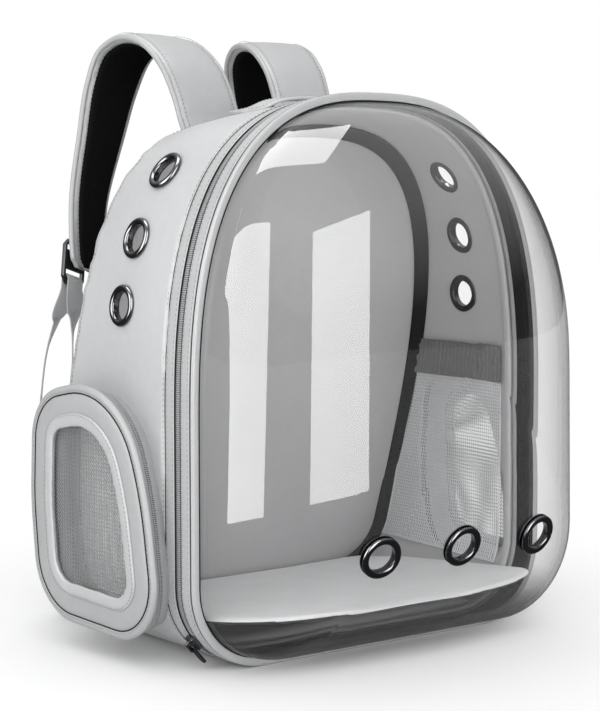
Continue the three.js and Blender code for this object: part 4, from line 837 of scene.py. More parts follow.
def half_width(form, z):
    """Half of an outline's width at a height."""
    z = np.asarray(z, float)
    low = form["width"] / 2 - form["corner"] + np.sqrt(
        np.clip(form["corner"] ** 2 - (form["corner"] - np.minimum(z, form["corner"])) ** 2, 0, None))
    share = np.clip((z - form["side_top"]) / (form["height"] - form["side_top"]), 0, 1)
    high = form["width"] / 2 * (1 - share ** form["power"]) ** (1 / form["power"])
    return np.where(z < form["corner"], low, high)


def wall_x(y, z):
    share = np.minimum((y - FRONT_Y) / depth_at(z), 1)
    return half_width(FRONT, z) + (half_width(BACK, z) - half_width(FRONT, z)) * share


def face_x(y):
    slope = (POCKET["face_rear"] - POCKET["face_front"]) / POCKET["length"]
    return POCKET["face_front"] + slope * (y - POCKET["front"])


def pocket_ring(inset, share):
    """Ring of the pocket at a share of the way from the wall out to its face."""
    flat = pocket_outline(inset)
    y, z = flat[:, 0], flat[:, 1]
    wall = wall_x(y, z)
    return np.column_stack([wall + (face_x(y) - wall) * share, y, z])


def pocket_face_ring(inset, depth):
    flat = pocket_outline(inset)
    y, z = flat[:, 0], flat[:, 1]
    return np.column_stack([face_x(y) - depth, y, z])


def side_spot(z, share, side):
    """Place on the side wall's outer skin, and the direction straight out of it."""
    def at(height, part):
        length = depth_at(height)
        depth = length * part
        front, back = half_width(FRONT, height), half_width(BACK, height)
        along = np.clip((depth - SEAM_DEPTH) / (length - SEAM_DEPTH), 0, 1)
        x = front + (back - front) * part
        out = np.array([x, height - FRONT["height"] / 2])
        out = out / np.linalg.norm(out)
        puff = SIDE_BULGE * math.sin(math.pi * along)
        return Vector((side * (x + out[0] * puff), FRONT_Y + depth, height + out[1] * puff))
    along = at(z, share + 0.02) - at(z, share - 0.02)
    out = along.cross(at(z + 10, share) - at(z - 10, share)).normalized()
    return at(z, share), out if out.x * side > 0 else -out


def dome_ring(turn, inset, depth):
    """Ring of the bubble, from the flange at turn 0 to the tip at a quarter turn."""
    flat = rim(FRONT, inset)
    x, rise = flat[:, 0], flat[:, 1] - BUBBLE_CENTRE
    steep = rise ** 2 / (x ** 2 + rise ** 2)
    upright = np.where(rise > 0, BUBBLE_POWERS["up"], BUBBLE_POWERS["down"])
    power = BUBBLE_POWERS["side"] * (1 - steep) + upright * steep
    scale = max(math.cos(turn), 0) ** (2 / power)
    return np.column_stack([x * scale, FRONT_Y + GAP - depth * math.sin(turn) ** (2 / power),
                            BUBBLE_CENTRE + rise * scale])


def dome_point(x, z):
    """Point of the bubble's outer face; its share of the way to the rim is found by halving."""
    inset = STRIP_WIDTH + GAP
    rise = z - BUBBLE_CENTRE
    steep = rise ** 2 / (x ** 2 + rise ** 2)
    upright = BUBBLE_POWERS["up"] if rise > 0 else BUBBLE_POWERS["down"]
    power = BUBBLE_POWERS["side"] * (1 - steep) + upright * steep
    form = dict(width=FRONT["width"] - 2 * inset, height=FRONT["height"] - 2 * inset,
                corner=FRONT["corner"] - inset, side_top=FRONT["side_top"] - inset, power=FRONT["power"])
    near, far = 0.0, 1.0
    for _ in range(DOME_HALVINGS):
        middle = (near + far) / 2
        edge = BUBBLE_CENTRE + rise / middle
        inside = inset < edge < form["height"] + inset and abs(x / middle) < half_width(form, edge - inset)
        near, far = (near, middle) if inside else (middle, far)
    return Vector((x, FRONT_Y + GAP - BUBBLE_DEPTH * (1 - far ** power) ** (1 / power), z))


def dome_normal(x, z, step):
    """Direction straight out of the bubble, from points a step away on each side."""
    across = dome_point(x + step, z) - dome_point(x - step, z)
    upward = dome_point(x, z + step) - dome_point(x, z - step)
    out = across.cross(upward).normalized()
    return out if out.y < 0 else -out


def drill(place, direction):
    """Round tool that cuts an eyelet's hole."""
    sides, reach = DRILL_SIDES, DRILL_REACH
    ring = [(BARREL_HOLE * math.cos(t), BARREL_HOLE * math.sin(t)) for t in circle(sides)]
    verts = [(x, y, -reach) for x, y in ring] + [(x, y, reach) for x, y in ring]
    faces = [tuple(range(sides))[::-1], tuple(range(sides, 2 * sides))]
    faces += [(k, (k + 1) % sides, sides + (k + 1) % sides, sides + k) for k in range(sides)]
    spin = direction.to_track_quat("Z", "Y").to_matrix()
    return shell_object("drill", [tuple(spin @ Vector(v) + place) for v in verts], faces, LEATHERETTE)


def eyelet(name, place, direction, wall, node):
    """Rolled eyelet: round lip outside, barrel through the wall, flatter lip inside."""
    crest, rise, foot = EYELET_HOLE + 2.6, 2.0, 0.9
    lip = [(crest - 2.6 * math.cos(t), foot + rise * math.sin(t)) for t in np.linspace(0, math.pi * 0.5, 7)]
    fall = [(crest + 2.4 * math.sin(t), foot + rise * math.cos(t))
            for t in np.linspace(0.15, math.pi * 0.55, 7)]
    under = -wall - 0.4
    inner_lip = [(EYELET_OUTER - 0.3, under), (EYELET_OUTER, under - 0.6), (EYELET_OUTER - 0.7, under - 1.5),
                 (EYELET_OUTER - 2.2, under - 2.0), (EYELET_HOLE + 1.1, under - 1.8),
                 (EYELET_HOLE + 0.2, under - 1.0)]
    barrel = [(EYELET_OUTER - 0.2, 0.2), (EYELET_BARREL, 0.2), (EYELET_BARREL, under)]
    profile = lip + fall + barrel + inner_lip
    spin = direction.to_track_quat("Z", "Y").to_matrix()
    rings = []
    for r, h in profile:
        rings.append([tuple(spin @ Vector((r * math.cos(t), r * math.sin(t), h)) + place)
                      for t in circle(EYELET_SIDES)])
    piece = loft(name, rings, GUNMETAL, joined=True)
    line_inside(piece, DARK_METAL, (len(lip + fall) + 2) * EYELET_SIDES, (len(profile) - 1) * EYELET_SIDES)
    smooth_by_angle(piece, 50)
    return dress(piece, "gunmetal", node)


def pucker(piece, rows, amount, wave, reach):
    """Small ripples: moves points along their normals, less the further they are from the rows."""
    normals = np.zeros(len(piece.data.vertices) * 3)
    piece.data.vertex_normals.foreach_get("vector", normals)
    normals = normals.reshape(-1, 3)
    for vertex, normal in zip(piece.data.vertices, normals):
        p = vertex.co / MM
        fade = math.exp(-rows(p) / reach)
        if fade < 0.02:
            continue
        ripple = noise.noise(Vector((p.x, p.y * 0.25, p.z)) / wave)
        vertex.co += Vector(normal) * ripple * amount * fade * MM


def line_inside(piece, lining, first, last=None):
    """Gives a run of a lofted piece's faces the material of its lining."""
    piece.data.materials.append(lining)
    for face in piece.data.polygons[first:last]:
        face.material_index = 1


def build_walls():
    shares = np.linspace(0, 1, 26)
    rings = [skin(along_wall(s), 0.0) for s in shares] + [skin(along_wall(s), WALL) for s in shares[::-1]]
    wall = loft("side_wall_skin", rings, LEATHERETTE, joined=True)
    line_inside(wall, LINING_GREY, len(shares) * RIM_COUNT)

    def from_seams(p):
        depth = p.y - FRONT_Y
        return min(abs(depth - SEAM_DEPTH), abs(depth_at(min(max(p.z, 0), BACK["height"])) - depth))

    pucker(wall, from_seams, amount=1.3, wave=9.0, reach=9.0)
    pucker(wall, lambda p: 0.0, amount=0.9, wave=60.0, reach=1.0)
    spots = {}
    for side, sign in SIDES.items():
        for k in range(3):
            height = SIDE_EYELETS["top"] - SIDE_EYELETS["spacing"] * k
            spots[f"side_eyelet_{side}_{k + 1}"] = side_spot(height, SIDE_EYELETS["share"], sign)
    tools = [drill(place, out) for place, out in spots.values()]
    flat = pocket_outline(POCKET["opening"])
    for sign in (-1, 1):
        near, far = (np.column_stack([np.full(len(flat), sign * x), flat]) for x in (130.0, 190.0))
        tools.append(loft("opening", [near, far], LEATHERETTE, start=near.mean(0), end=far.mean(0)))
    cut_out(wall, tools)
    dress(wall, "leatherette", "side_wall")
    for name, (place, out) in spots.items():
        eyelet(name + "_ring", place + out * 0.3, out, WALL, name)


def flat_band(start, stop):
    """Outer arch and plain inner side of a band, as (depth, inset) pairs."""
    arch = []
    for t in np.linspace(0, math.pi, 15):
        bulge = math.sin(t) ** 0.35
        arch.append((start + (stop - start) * (1 - math.cos(t)) / 2, BAND_CROWN * (1 - bulge)))
    return arch + [(stop, BAND_CROWN + WALL), (start, BAND_CROWN + WALL)]


def band(name, section, material, place=from_front):
    """Closed band round the bag through (depth, inset) pairs."""
    return loft(name, [skin(place(d), inset) for d, inset in section], material, joined=True)


def tube_section(depth, inset, radius, count):
    return [(depth + radius * math.cos(t), inset + radius * math.sin(t)) for t in circle(count)]


def build_bands():
    strip = [(-STRIP_THICKNESS * math.sin(t), STRIP_WIDTH / 2 * (1 - math.cos(t)) + 0.1)
             for t in np.linspace(0, math.pi, 11)]
    strip += [(0, STRIP_WIDTH - 0.2), (0, 0.2)]
    dress(band("bubble_strip_edging", strip, EDGE_GREY), "light_trim", "bubble_strip")
    first = FLANGE_THICKNESS + 2 * GAP
    second = first + DOOR_BAND + GAP
    third = second + ZIP_BAND + GAP
    door = band("door_band_skin", flat_band(first, second - GAP), BORDER_LEATHERETTE)
    dress(door, "leatherette", "door_band")
    tape = [(second, 1.2), (third - GAP, 1.2), (third - GAP, 3.4), (second, 3.4)]
    dress(band("main_zip_tape", tape, ZIP_TAPE), "zip_tape", "main_zip")
    border = band("zip_border_skin", flat_band(third, SEAM_DEPTH - GAP), BORDER_LEATHERETTE)
    dress(border, "leatherette", "zip_border")
    middle = (second + third - GAP) / 2
    coil = grown(path_object("main_zip_coil", [(skin(from_front(middle), 0.95), True)]), COIL_TREE, **{
        "Pitch": 1.55 * MM, "Coil Half Size": (0.62 * MM, 2.7 * MM, 0.62 * MM), "Finish": ZIP_COIL})
    dress(coil, "zip_tape")
    inside = BAND_CROWN + WALL + GAP
    lining = [(first + 8, inside + 0.1), (SEAM_DEPTH - 11, inside + 0.7), (SEAM_DEPTH - 11, inside + 1.6),
              (first + 8, inside + 1.2)]
    dress(band("ring_inner_tape", lining, TAPE_DARK), "dark_binding")
    inner = [(first, inside), (first + 8, inside), (first + 8, inside + 2.6), (first + 6, inside + 3.2),
             (first + 1, STRIP_WIDTH + BUBBLE_WALL), (first, STRIP_WIDTH + BUBBLE_WALL)]
    dress(band("bubble_binding_tape", inner, TAPE_DARK), "dark_binding", "bubble_binding")
    seam = inside + 0.6
    ring = [(SEAM_DEPTH - 4, seam), (SEAM_DEPTH + 4, seam), (SEAM_DEPTH + 3.4, seam + 2.1),
            (SEAM_DEPTH + 2, seam + 2.6), (SEAM_DEPTH - 2, seam + 2.6), (SEAM_DEPTH - 3.4, seam + 2.1)]
    dress(band("front_binding_tape", ring, LINING_GREY), "dark_binding", "front_binding")
    start, wall = BACK_THICKNESS + GAP, WALL + GAP
    cove = [(start, wall), (start, wall + 9), (start + 1.6, wall + 9.4), (start + 3, wall + 8),
            (start + 5, wall + 5.4), (start + 7.4, wall + 2.6), (start + 8.2, wall + 1.6),
            (start + 8.2, wall)]
    dress(band("back_binding_tape", cove, TAPE_DARK, from_back), "dark_binding", "back_binding")
    rows = []
    for depth, inset in ((first + 1.8, 0.05), (second - 2.0, 0.05), (third + 1.8, 0.05),
                         (SEAM_DEPTH - 2.2, 0.05)):
        rows.append((skin(from_front(depth), inset), True))
    rows.append((skin(lambda z: np.full(RIM_COUNT, SEAM_DEPTH + 2.2), -0.05), True))
    stitches("ring_stitches", rows, THREAD, "leatherette", pitch=3.8, length=2.7, radius=0.3)
    stitches("back_seam_stitches", [(skin(from_back(3.0), -0.1), True)], THREAD, "leatherette", radius=0.3)
    for name, depth, inset, radius in (
            ("door_band_seam", second - GAP / 2, 0.9, 0.55), ("zip_seam", third - GAP / 2, 0.9, 0.55),
            ("ring_seam", SEAM_DEPTH - 0.1, 0.5, 0.6), ("strip_seam", first - 1.2, 0.9, 0.7),
            ("bubble_gasket", -0.9, STRIP_WIDTH + 0.15, 0.65)):
        dress(band(name, tube_section(depth, inset, radius, 8), SEAM_DARK), "dark_binding")
    piping = tube_section(0.5, 2.4, 2.0, 12)
    dress(band("back_piping", piping, BORDER_LEATHERETTE, from_back), "leatherette")


def panel_ring(scale, offset):
    """Ring of the back panel, drawn in towards its middle by a scale."""
    middle = BACK["height"] / 2
    flat = rim(BACK, WALL + GAP)
    x, z = flat[:, 0] * scale, middle + (flat[:, 1] - middle) * scale
    return np.column_stack([x, FRONT_Y + depth_at(z) + offset, z])


# The back padding's seams: a ring at an inset, level lines at heights, and how each is pressed in
QUILT = dict(inset=28, levels=(112, 172, 232, 292), depth=4.0, width=5.5, step=1.5)
OUTER_SIDE = 0.3


def surface_of(piece):
    """A piece's faces as a tree that rays can be cast against."""
    mesh = piece.data
    return BVHTree.FromPolygons([v.co for v in mesh.vertices], [p.vertices for p in mesh.polygons])


def quilt_seams():
    """Seams of the back padding as rows of x and z points: a ring first, then level lines."""
    ring = rim(BACK, QUILT["inset"])
    right = ring[:RIM_COUNT // 2 + 1]
    loop = np.vstack([ring, ring[:1]])
    run = np.concatenate([[0], np.cumsum(np.linalg.norm(np.diff(loop, axis=0), axis=1))])
    along = np.arange(0, run[-1], QUILT["step"])
    paths = [np.column_stack([np.interp(along, run, loop[:, k]) for k in (0, 1)])]
    for z in QUILT["levels"]:
        half = np.interp(z, right[:, 1], right[:, 0]) - 2
        x = np.arange(-half, half, QUILT["step"])
        paths.append(np.column_stack([x, np.full(len(x), z)]))
    return right, paths


def quilt(panel):
    """Presses seams into the panel's outer face, and lays piping and stitches in them."""
    right, paths = quilt_seams()
    seams = np.vstack(paths)
    normals = np.zeros(len(panel.data.vertices) * 3)
    panel.data.vertex_normals.foreach_get("vector", normals)
    for vertex, outward in zip(panel.data.vertices, normals.reshape(-1, 3)[:, 1]):
        if outward > OUTER_SIDE:
            off = np.hypot(seams[:, 0] - vertex.co.x / MM, seams[:, 1] - vertex.co.z / MM).min()
            vertex.co.y -= QUILT["depth"] * math.exp(-(off / QUILT["width"]) ** 2) * MM
    panel.data.materials.append(BACK_CLOTH)
    panel.data.materials.append(LEATHERETTE)
    for face in panel.data.polygons:
        if face.normal.y > OUTER_SIDE:
            reach = np.interp(face.center.z / MM, right[:, 1], right[:, 0], right=0)
            within = abs(face.center.x) / MM < reach
            face.material_index = 1 if within else 2
    surface = surface_of(panel)

    def on_panel(path, lift):
        hits = [surface.ray_cast(Vector((x * MM, 1, z * MM)), Vector((0, -1, 0)))[0] / MM for x, z in path]
        return np.array([tuple(hit) for hit in hits]) + (0, lift, 0)

    seat = on_panel(paths[0], 0.9)
    way = (seat - seat.mean(0)) * (1, 0, 1)
    way /= np.linalg.norm(way, axis=1)[:, None]
    tube = [seat + way * 1.6 * math.cos(t) + (0, 1.6 * math.sin(t), 0) for t in circle(10)]
    dress(loft("back_panel_piping", tube, BORDER_LEATHERETTE, joined=True), "leatherette")
    rows = [(on_panel(path, 0.1), False) for path in paths[1:]]
    rows.append((on_panel(rim(BACK, QUILT["inset"] - 4), 0.1), True))
    stitches("back_panel_stitches", rows, THREAD, "leatherette", pitch=4.2, length=3.0, radius=0.34)


def build_back_panel():
    crown = 4
    scales = np.linspace(0.04, 1, 26)
    inner = [panel_ring(s, -BACK_THICKNESS) for s in scales]
    outer = [panel_ring(s, crown * (1 - s ** 2) ** 0.8) for s in scales[::-1]]
    centre = FRONT_Y + MIDDLE_DEPTH
    middle = BACK["height"] / 2
    panel = loft("back_panel_padding", inner + outer, BACK_LINING,
                 start=(0, centre - BACK_THICKNESS, middle), end=(0, centre + crown, middle))
    rim_half = BACK["width"] / 2 - 16

    def held(p):
        return abs(p.x) > rim_half or p.z < 16 or p.y < FRONT_Y + depth_at(p.z) - 5 or (
            p.z > 240 and abs(p.x) > half_width(BACK, p.z + 14) - 14)

    plumped(panel, voxel=5.0, cap=4.0, held=held)
    quilt(panel)
    dress(panel, "panel_cloth", "back_panel")


def build_bubble():
    turns = np.concatenate([np.linspace(0, 0.3, 10)[:-1], np.linspace(0.3, 1.54, 34)])
    outer_inset = STRIP_WIDTH + GAP
    outer = [dome_ring(t, outer_inset, BUBBLE_DEPTH) for t in turns]
    inner = [dome_ring(t, outer_inset + BUBBLE_WALL, BUBBLE_DEPTH - BUBBLE_WALL) for t in turns][::-1]
    inner[-1][:, 1] = FRONT_Y + GAP + FLANGE_THICKNESS
    flange = [skin(from_front(GAP + FLANGE_THICKNESS), FLANGE_INSET), skin(from_front(GAP), FLANGE_INSET)]
    tip = FRONT_Y + GAP - BUBBLE_DEPTH
    tips = np.array([[0, tip, BUBBLE_CENTRE], [0, tip + BUBBLE_WALL, BUBBLE_CENTRE]])
    rings = flange + outer
    count = RIM_COUNT
    verts = np.concatenate(rings + inner + [tips])
    faces = []

    def link(a, b):
        for i in range(count):
            j = (i + 1) % count
            faces.append((a * count + i, a * count + j, b * count + j, b * count + i))

    for k in range(len(rings) - 1):
        link(k, k + 1)
    for k in range(len(rings), len(rings) + len(inner) - 1):
        link(k, k + 1)
    link(len(rings) + len(inner) - 1, 0)
    last, begin = (len(rings) - 1) * count, len(rings) * count
    top = len(verts) - 2
    for i in range(count):
        j = (i + 1) % count
        faces.append((last + i, last + j, top))
        faces.append((begin + i, begin + j, top + 1))
    dome = face_outward(shell_object("bubble_dome", verts, faces, CLEAR))
    spots = []
    for name, x in (("left", -BUBBLE_EYELET_SPACING), ("middle", 0.01), ("right", BUBBLE_EYELET_SPACING)):
        spots.append((name, dome_point(x, BUBBLE_EYELET_HEIGHT), dome_normal(x, BUBBLE_EYELET_HEIGHT, 5)))
    cut_out(dome, [drill(place, out) for _, place, out in spots])
    smooth_by_angle(dome, 40)
    dress(dome, "clear_plastic", "bubble")
    for name, place, out in spots:
        eyelet(f"bubble_eyelet_{name}_ring", place + out * 0.5, out, BUBBLE_WALL, f"bubble_eyelet_{name}")


BASE_TOP = WALL + GAP + 8
BASE_FRONT_Y = FRONT_Y + SEAM_DEPTH + 4 + GAP
BASE_BACK_Y = FRONT_Y + depth_at(BASE_TOP) - BACK_THICKNESS - 7.6 - 2 * GAP


def build_floor():
    """Padded floor board and the loose mat on it."""
    flat = FRONT["width"] / 2 - FRONT["corner"] - 1
    half = [(0, 2.3), (flat, 2.3), (flat + 20, 7.3), (flat + 22, 9.2), (flat + 19, 10.3), (flat * 0.6, 10.3),
            (0, 10.3)]
    section = half + [(-x, z) for x, z in half[1:-1][::-1]]
    rings = [[(x, y, z) for x, z in section] for y in np.linspace(BASE_FRONT_Y, BASE_BACK_Y, 12)]
    board = loft("base_panel_cover", rings, LINING_GREY, start=(0, BASE_FRONT_Y, 6), end=(0, BASE_BACK_Y, 6))
    dress(board, "panel_cloth", "base_panel")
    low = BASE_TOP + GAP
    half_width_mm, thickness, curl_mm, back_round = 150, 5, 4, 26
    back_y = FRONT_Y + depth_at(low + thickness) - BACK_THICKNESS - 3 * GAP
    corner_y, front_y = FRONT_Y + 6, FRONT_Y - 44
    reach = half_width_mm + GAP - (FRONT["width"] / 2 - FRONT["corner"])
    inset = STRIP_WIDTH + GAP + BUBBLE_WALL
    rest = FRONT["corner"] - math.sqrt((FRONT["corner"] - inset) ** 2 - reach ** 2) + GAP
    slope = (rest - curl_mm - low) / (BASE_BACK_Y - FRONT_Y)
    rows = []
    for drop in np.linspace(1, 0, 12):
        y = back_y - (1 - drop) * back_round
        rows.append((y, half_width_mm - back_round * (1 - math.sqrt(1 - drop ** 2)) - 6 * drop))
    for y in np.linspace(back_y - back_round, corner_y, 26)[1:]:
        rows.append((y, half_width_mm))
    for turn in np.linspace(0.06, 1.5, 22):
        power = 2 / 2.3
        ahead, aside = math.sin(turn) ** power, math.cos(turn) ** power
        rows.append((corner_y - (corner_y - front_y) * ahead, half_width_mm * aside))

    def lift(x, y):
        curl = curl_mm * (abs(x) / half_width_mm) ** 4 * min(1, (back_y - y) / 60)
        return low + max(BASE_BACK_Y - y, 0) * slope + curl

    columns = np.sin(np.linspace(-math.pi / 2, math.pi / 2, 41))
    grids = []
    for top in (1, 0):
        grid = []
        for y, half_row in rows:
            row = []
            for c in columns:
                edge = max(1 - abs(c), 0)
                inward = min(edge * half_row, y - front_y + 0.01 if y < corner_y else 99, back_y - y + 0.01)
                puff = min(1.0, (max(inward, 0) / 7) ** 0.5)
                z = lift(c * half_row, y) + thickness * (0.5 + (puff * 0.5 if top else -puff * 0.5))
                row.append((c * half_row, y, z))
            grid.append(row)
        grids.append(np.array(grid))
    rows_n, cols_n = grids[0].shape[:2]
    verts = np.concatenate([grids[0].reshape(-1, 3), grids[1].reshape(-1, 3)])
    faces = []
    half_n = rows_n * cols_n
    for r in range(rows_n - 1):
        for c in range(cols_n - 1):
            a = r * cols_n + c
            faces.append((a, a + cols_n, a + cols_n + 1, a + 1))
            faces.append((half_n + a, half_n + a + 1, half_n + a + cols_n + 1, half_n + a + cols_n))
    border = list(range(cols_n - 1))
    border += [r * cols_n + cols_n - 1 for r in range(rows_n - 1)]
    border += [(rows_n - 1) * cols_n + c for c in range(cols_n - 1, 0, -1)]
    border += [r * cols_n for r in range(rows_n - 1, 0, -1)]
    for k, a in enumerate(border):
        b = border[(k + 1) % len(border)]
        faces.append((a, b, half_n + b, half_n + a))
    mat = face_outward(shell_object("floor_mat_pad", verts, faces, MAT_PILE))
    # Faces that look down take the dark underside: painted shade under the mat.
    mat.data.materials.append(MAT_UNDERSIDE_SHADE)
    for face in mat.data.polygons:
        if face.normal.z < -0.2:
            face.material_index = 1
    dress(mat, "mat_cloth", "floor_mat")


def wall_grid(inset, rows, columns, low, high, from_share, to_share):
    """Grid of points on the right side wall between two heights and two shares of its depth."""
    shares = np.linspace(from_share, to_share, columns)
    lines = [skin(along_wall(s), inset) for s in shares]
    right = RIM_COUNT // 2 + 1
    grid = []
    for z in np.linspace(low, high, rows):
        row = []
        for line in lines:
            part = line[:right]
            row.append([np.interp(z, part[:, 2], part[:, axis]) for axis in range(3)])
        grid.append(row)
    return np.array(grid)


def build_side_nets():
    """Nets inside the side walls, each with a gathered elastic top."""
    lower, upper = 36, 186
    piece = sheet_grid("side_net_right_mesh", wall_grid(3.4, 54, 50, lower, upper, 0.07, 0.9), NET_THREAD)
    grown(piece, NET_TREE, **{"Thread Radius": 0.58 * MM, "Finish": NET_THREAD})
    dress_both(piece, "net", "side_net", "side_net_right_mesh_twin")
    grid = wall_grid(3.4, 26, 150, upper, NET_TOP, 0.07, 0.9)
    rows, columns = grid.shape[:2]
    for r in range(rows):
        for c in range(columns):
            pinch = 0.5 + 0.5 * math.sin(r / (rows - 1) * math.pi * 5)
            grid[r, c, 0] -= 1.2 + 0.9 * math.sin(c * 0.9 + 0.6 * math.sin(r * 0.7)) * (0.4 + 0.6 * pinch)
    dress_both(sheet_grid("side_net_right_elastic", grid, NET_ELASTIC, thickness=0.7), "net")


NET_ELASTIC = woven_material("gathered net top", linear(138, 137, 136), 4200.0, gap=0.35, depth=0.4)


def build_pockets():
    """Right pocket's wall, zip tape, face and trim with their left twins, then nets, coils and seams."""
    def outer(share, recess):
        return pocket_ring(POCKET["flare"] * (1 - share) + recess, share)

    def inner(share):
        return pocket_ring(POCKET["flare"] * (1 - share) + WALL, share)

    pieces = []
    low, high = -0.02, 0.42
    wall_rings = [outer(s, 0.5 * (1 - math.sin(math.pi * (s - low) / 0.46)) if s > low else 0)
                  for s in np.linspace(low, high, 9)]
    wall_rings += [inner(high), inner(low)]
    count = len(wall_rings[0])
    wall = loft("pocket_wall_right_skin", wall_rings, POCKET_LEATHERETTE, joined=True)
    # The pocket's inside takes the pale lining: painted light.
    line_inside(wall, POCKET_LINING_PAINTED_LIGHT, (len(wall_rings) - 2) * count, (len(wall_rings) - 1) * count)
    pieces.append((wall, "leatherette", "pocket_wall"))
    tape = [outer(0.425, 1.1), outer(0.615, 1.1), outer(0.615, 3.1), outer(0.425, 3.1)]
    pieces.append((loft("pocket_zip_right_tape", tape, ZIP_TAPE, joined=True), "zip_tape", "pocket_zip"))
    rise = [outer(0.62, 0.3), outer(0.66, 0.0), outer(0.78, 0.0)]
    window = POCKET["window"]
    rise += [pocket_face_ring(inset, depth) for inset, depth in (
        (0.0, 2.6), (0.5, 1.4), (1.6, 0.5), (3.4, 0.1), (5.4, 0.3), (6.6, 0.9), (7.4, 0.4), (10, -0.2),
        (16, -0.4), (26, -0.1), (window, 0.2), (window, WALL), (WALL + 1, WALL + 0.6))]
    rise.append(inner(0.62))
    face = loft("pocket_face_right_skin", rise, POCKET_LEATHERETTE, joined=True)
    # The face's inside takes the pale lining: painted light.
    line_inside(face, POCKET_LINING_PAINTED_LIGHT, (len(rise) - 3) * count, (len(rise) - 1) * count)
    pieces.append((face, "leatherette", "pocket_face"))
    trim_inner = window + 1.0
    wave = 0.3 * np.sin(np.arange(count) * 2 * math.pi / 4.0)
    trim = []
    for outward, lift in ((10, -0.35), (9.4, -1.2), (7.5, -1.6), (5, -1.7), (2, -1.5), (0.4, -1.0),
                          (0, -0.35)):
        ring = pocket_face_ring(trim_inner - outward, lift)
        if outward < 3:
            middle = ring.mean(0)
            way = (middle - ring) / np.linalg.norm(middle - ring, axis=1)[:, None]
            ring = ring + way * wave[:, None]
        trim.append(ring)
    edging = loft("pocket_trim_right_edging", trim, TRIM_LIGHT, joined=True)
    pieces.append((edging, "light_trim", "pocket_trim"))
    for piece, slot, node in pieces:
        dress_both(piece, slot, node)
    build_pocket_net()
    paths, zips = [], []
    flips = [np.array([sign, 1, 1]) for sign in (-1, 1)]
    for flip in flips:
        paths.append((outer(0.40, -0.05) * flip, True))
        paths.append((pocket_face_ring(4.6, -0.05) * flip, True))
        paths.append((pocket_face_ring(window - 7.4, -2.1) * flip, True))
        zips.append((outer(0.52, 0.8) * flip, True))
    stitches("pocket_stitches", paths, THREAD, "leatherette", pitch=3.4, length=2.4, radius=0.28)
    coil = grown(path_object("pocket_zip_coils", zips), COIL_TREE, **{
        "Pitch": 1.5 * MM, "Coil Half Size": (2.0 * MM, 0.6 * MM, 0.6 * MM), "Finish": ZIP_COIL})
    dress(coil, "zip_tape")
    for flip in flips:
        side = "right" if flip[0] > 0 else "left"
        for label, make in (("edge", lambda a, b: pocket_face_ring(6.6 + a, 0.5 - b)),
                            ("zip_side", lambda a, b: outer(0.425, 0.9 + a) + np.array([b, 0, 0])),
                            ("face_side", lambda a, b: outer(0.618, 0.9 + a) + np.array([b, 0, 0]))):
            tube = [make(0.5 * math.cos(t), 0.5 * math.sin(t)) * flip for t in circle(6)]
            dress(loft(f"pocket_{label}_seam_{side}", tube, SEAM_DARK, joined=True), "dark_binding")


def build_pocket_net():
    """Net behind the pocket's window: a grid clipped to the window's outline."""
    flat = pocket_outline(POCKET["window"] - 5)
    low, high = flat.min(0), flat.max(0)
    cell = 3.1
    ys = np.arange(low[0], high[0] + cell, cell)
    zs = np.arange(low[1], high[1] + cell, cell)
    centre = flat.mean(0)

    def inside(point):
        odd = False
        for a, b in zip(flat, np.roll(flat, -1, 0)):
            spans = (a[1] > point[1]) != (b[1] > point[1])
            if spans and point[0] < (b[0] - a[0]) * (point[1] - a[1]) / (b[1] - a[1]) + a[0]:
                odd = not odd
        return odd

    verts, index, faces = [], {}, []
    for r, z in enumerate(zs):
        for c, y in enumerate(ys):
            index[r, c] = len(verts)
            sag = 1.0 * math.cos((y - centre[0]) / 60) * math.cos((z - centre[1]) / 80)
            verts.append((face_x(y) - 3.3 - sag, y, z))
    for r in range(len(zs) - 1):
        for c in range(len(ys) - 1):
            if inside((ys[c] + cell / 2, zs[r] + cell / 2)):
                faces.append((index[r, c], index[r, c + 1], index[r + 1, c + 1], index[r + 1, c]))
    work = shell_object("pocket_net_right_mesh", verts, faces, NET_DARK)
    mesh = bmesh.new()
    mesh.from_mesh(work.data)
    bmesh.ops.delete(mesh, geom=[v for v in mesh.verts if not v.link_faces], context="VERTS")
    mesh.to_mesh(work.data)
    mesh.free()
    grown(work, NET_TREE, **{"Thread Radius": 0.46 * MM, "Finish": NET_DARK})
    dress_both(work, "net", "pocket_net")


# Straps, webbing, buckles and handle
def smooth_path(points, t):
    """Centripetal Catmull-Rom point at share t, as the solids' paths are made."""
    points = [np.asarray(p, float) for p in points]
    spans = len(points) - 1
    k = min(int(math.floor(t * spans + 1e-12)), spans - 1)
    weight = t * spans - k
    p1, p2 = points[k], points[k + 1]
    p0 = points[k - 1] if k > 0 else 2 * p1 - p2
    p3 = points[k + 2] if k + 2 <= spans else 2 * p2 - p1
    d0, d1, d2 = (max(np.linalg.norm(b - a), 1e-9) ** 0.5 for a, b in ((p0, p1), (p1, p2), (p2, p3)))
    t1 = ((p1 - p0) / d0 - (p2 - p0) / (d0 + d1) + (p2 - p1) / d1) * d1
    t2 = ((p2 - p1) / d1 - (p3 - p1) / (d1 + d2) + (p3 - p2) / d2) * d1
    square, cube = -3 * p1 + 3 * p2 - 2 * t1 - t2, 2 * p1 - 2 * p2 + t1 + t2
    return p1 + t1 * weight + square * weight ** 2 + cube * weight ** 3


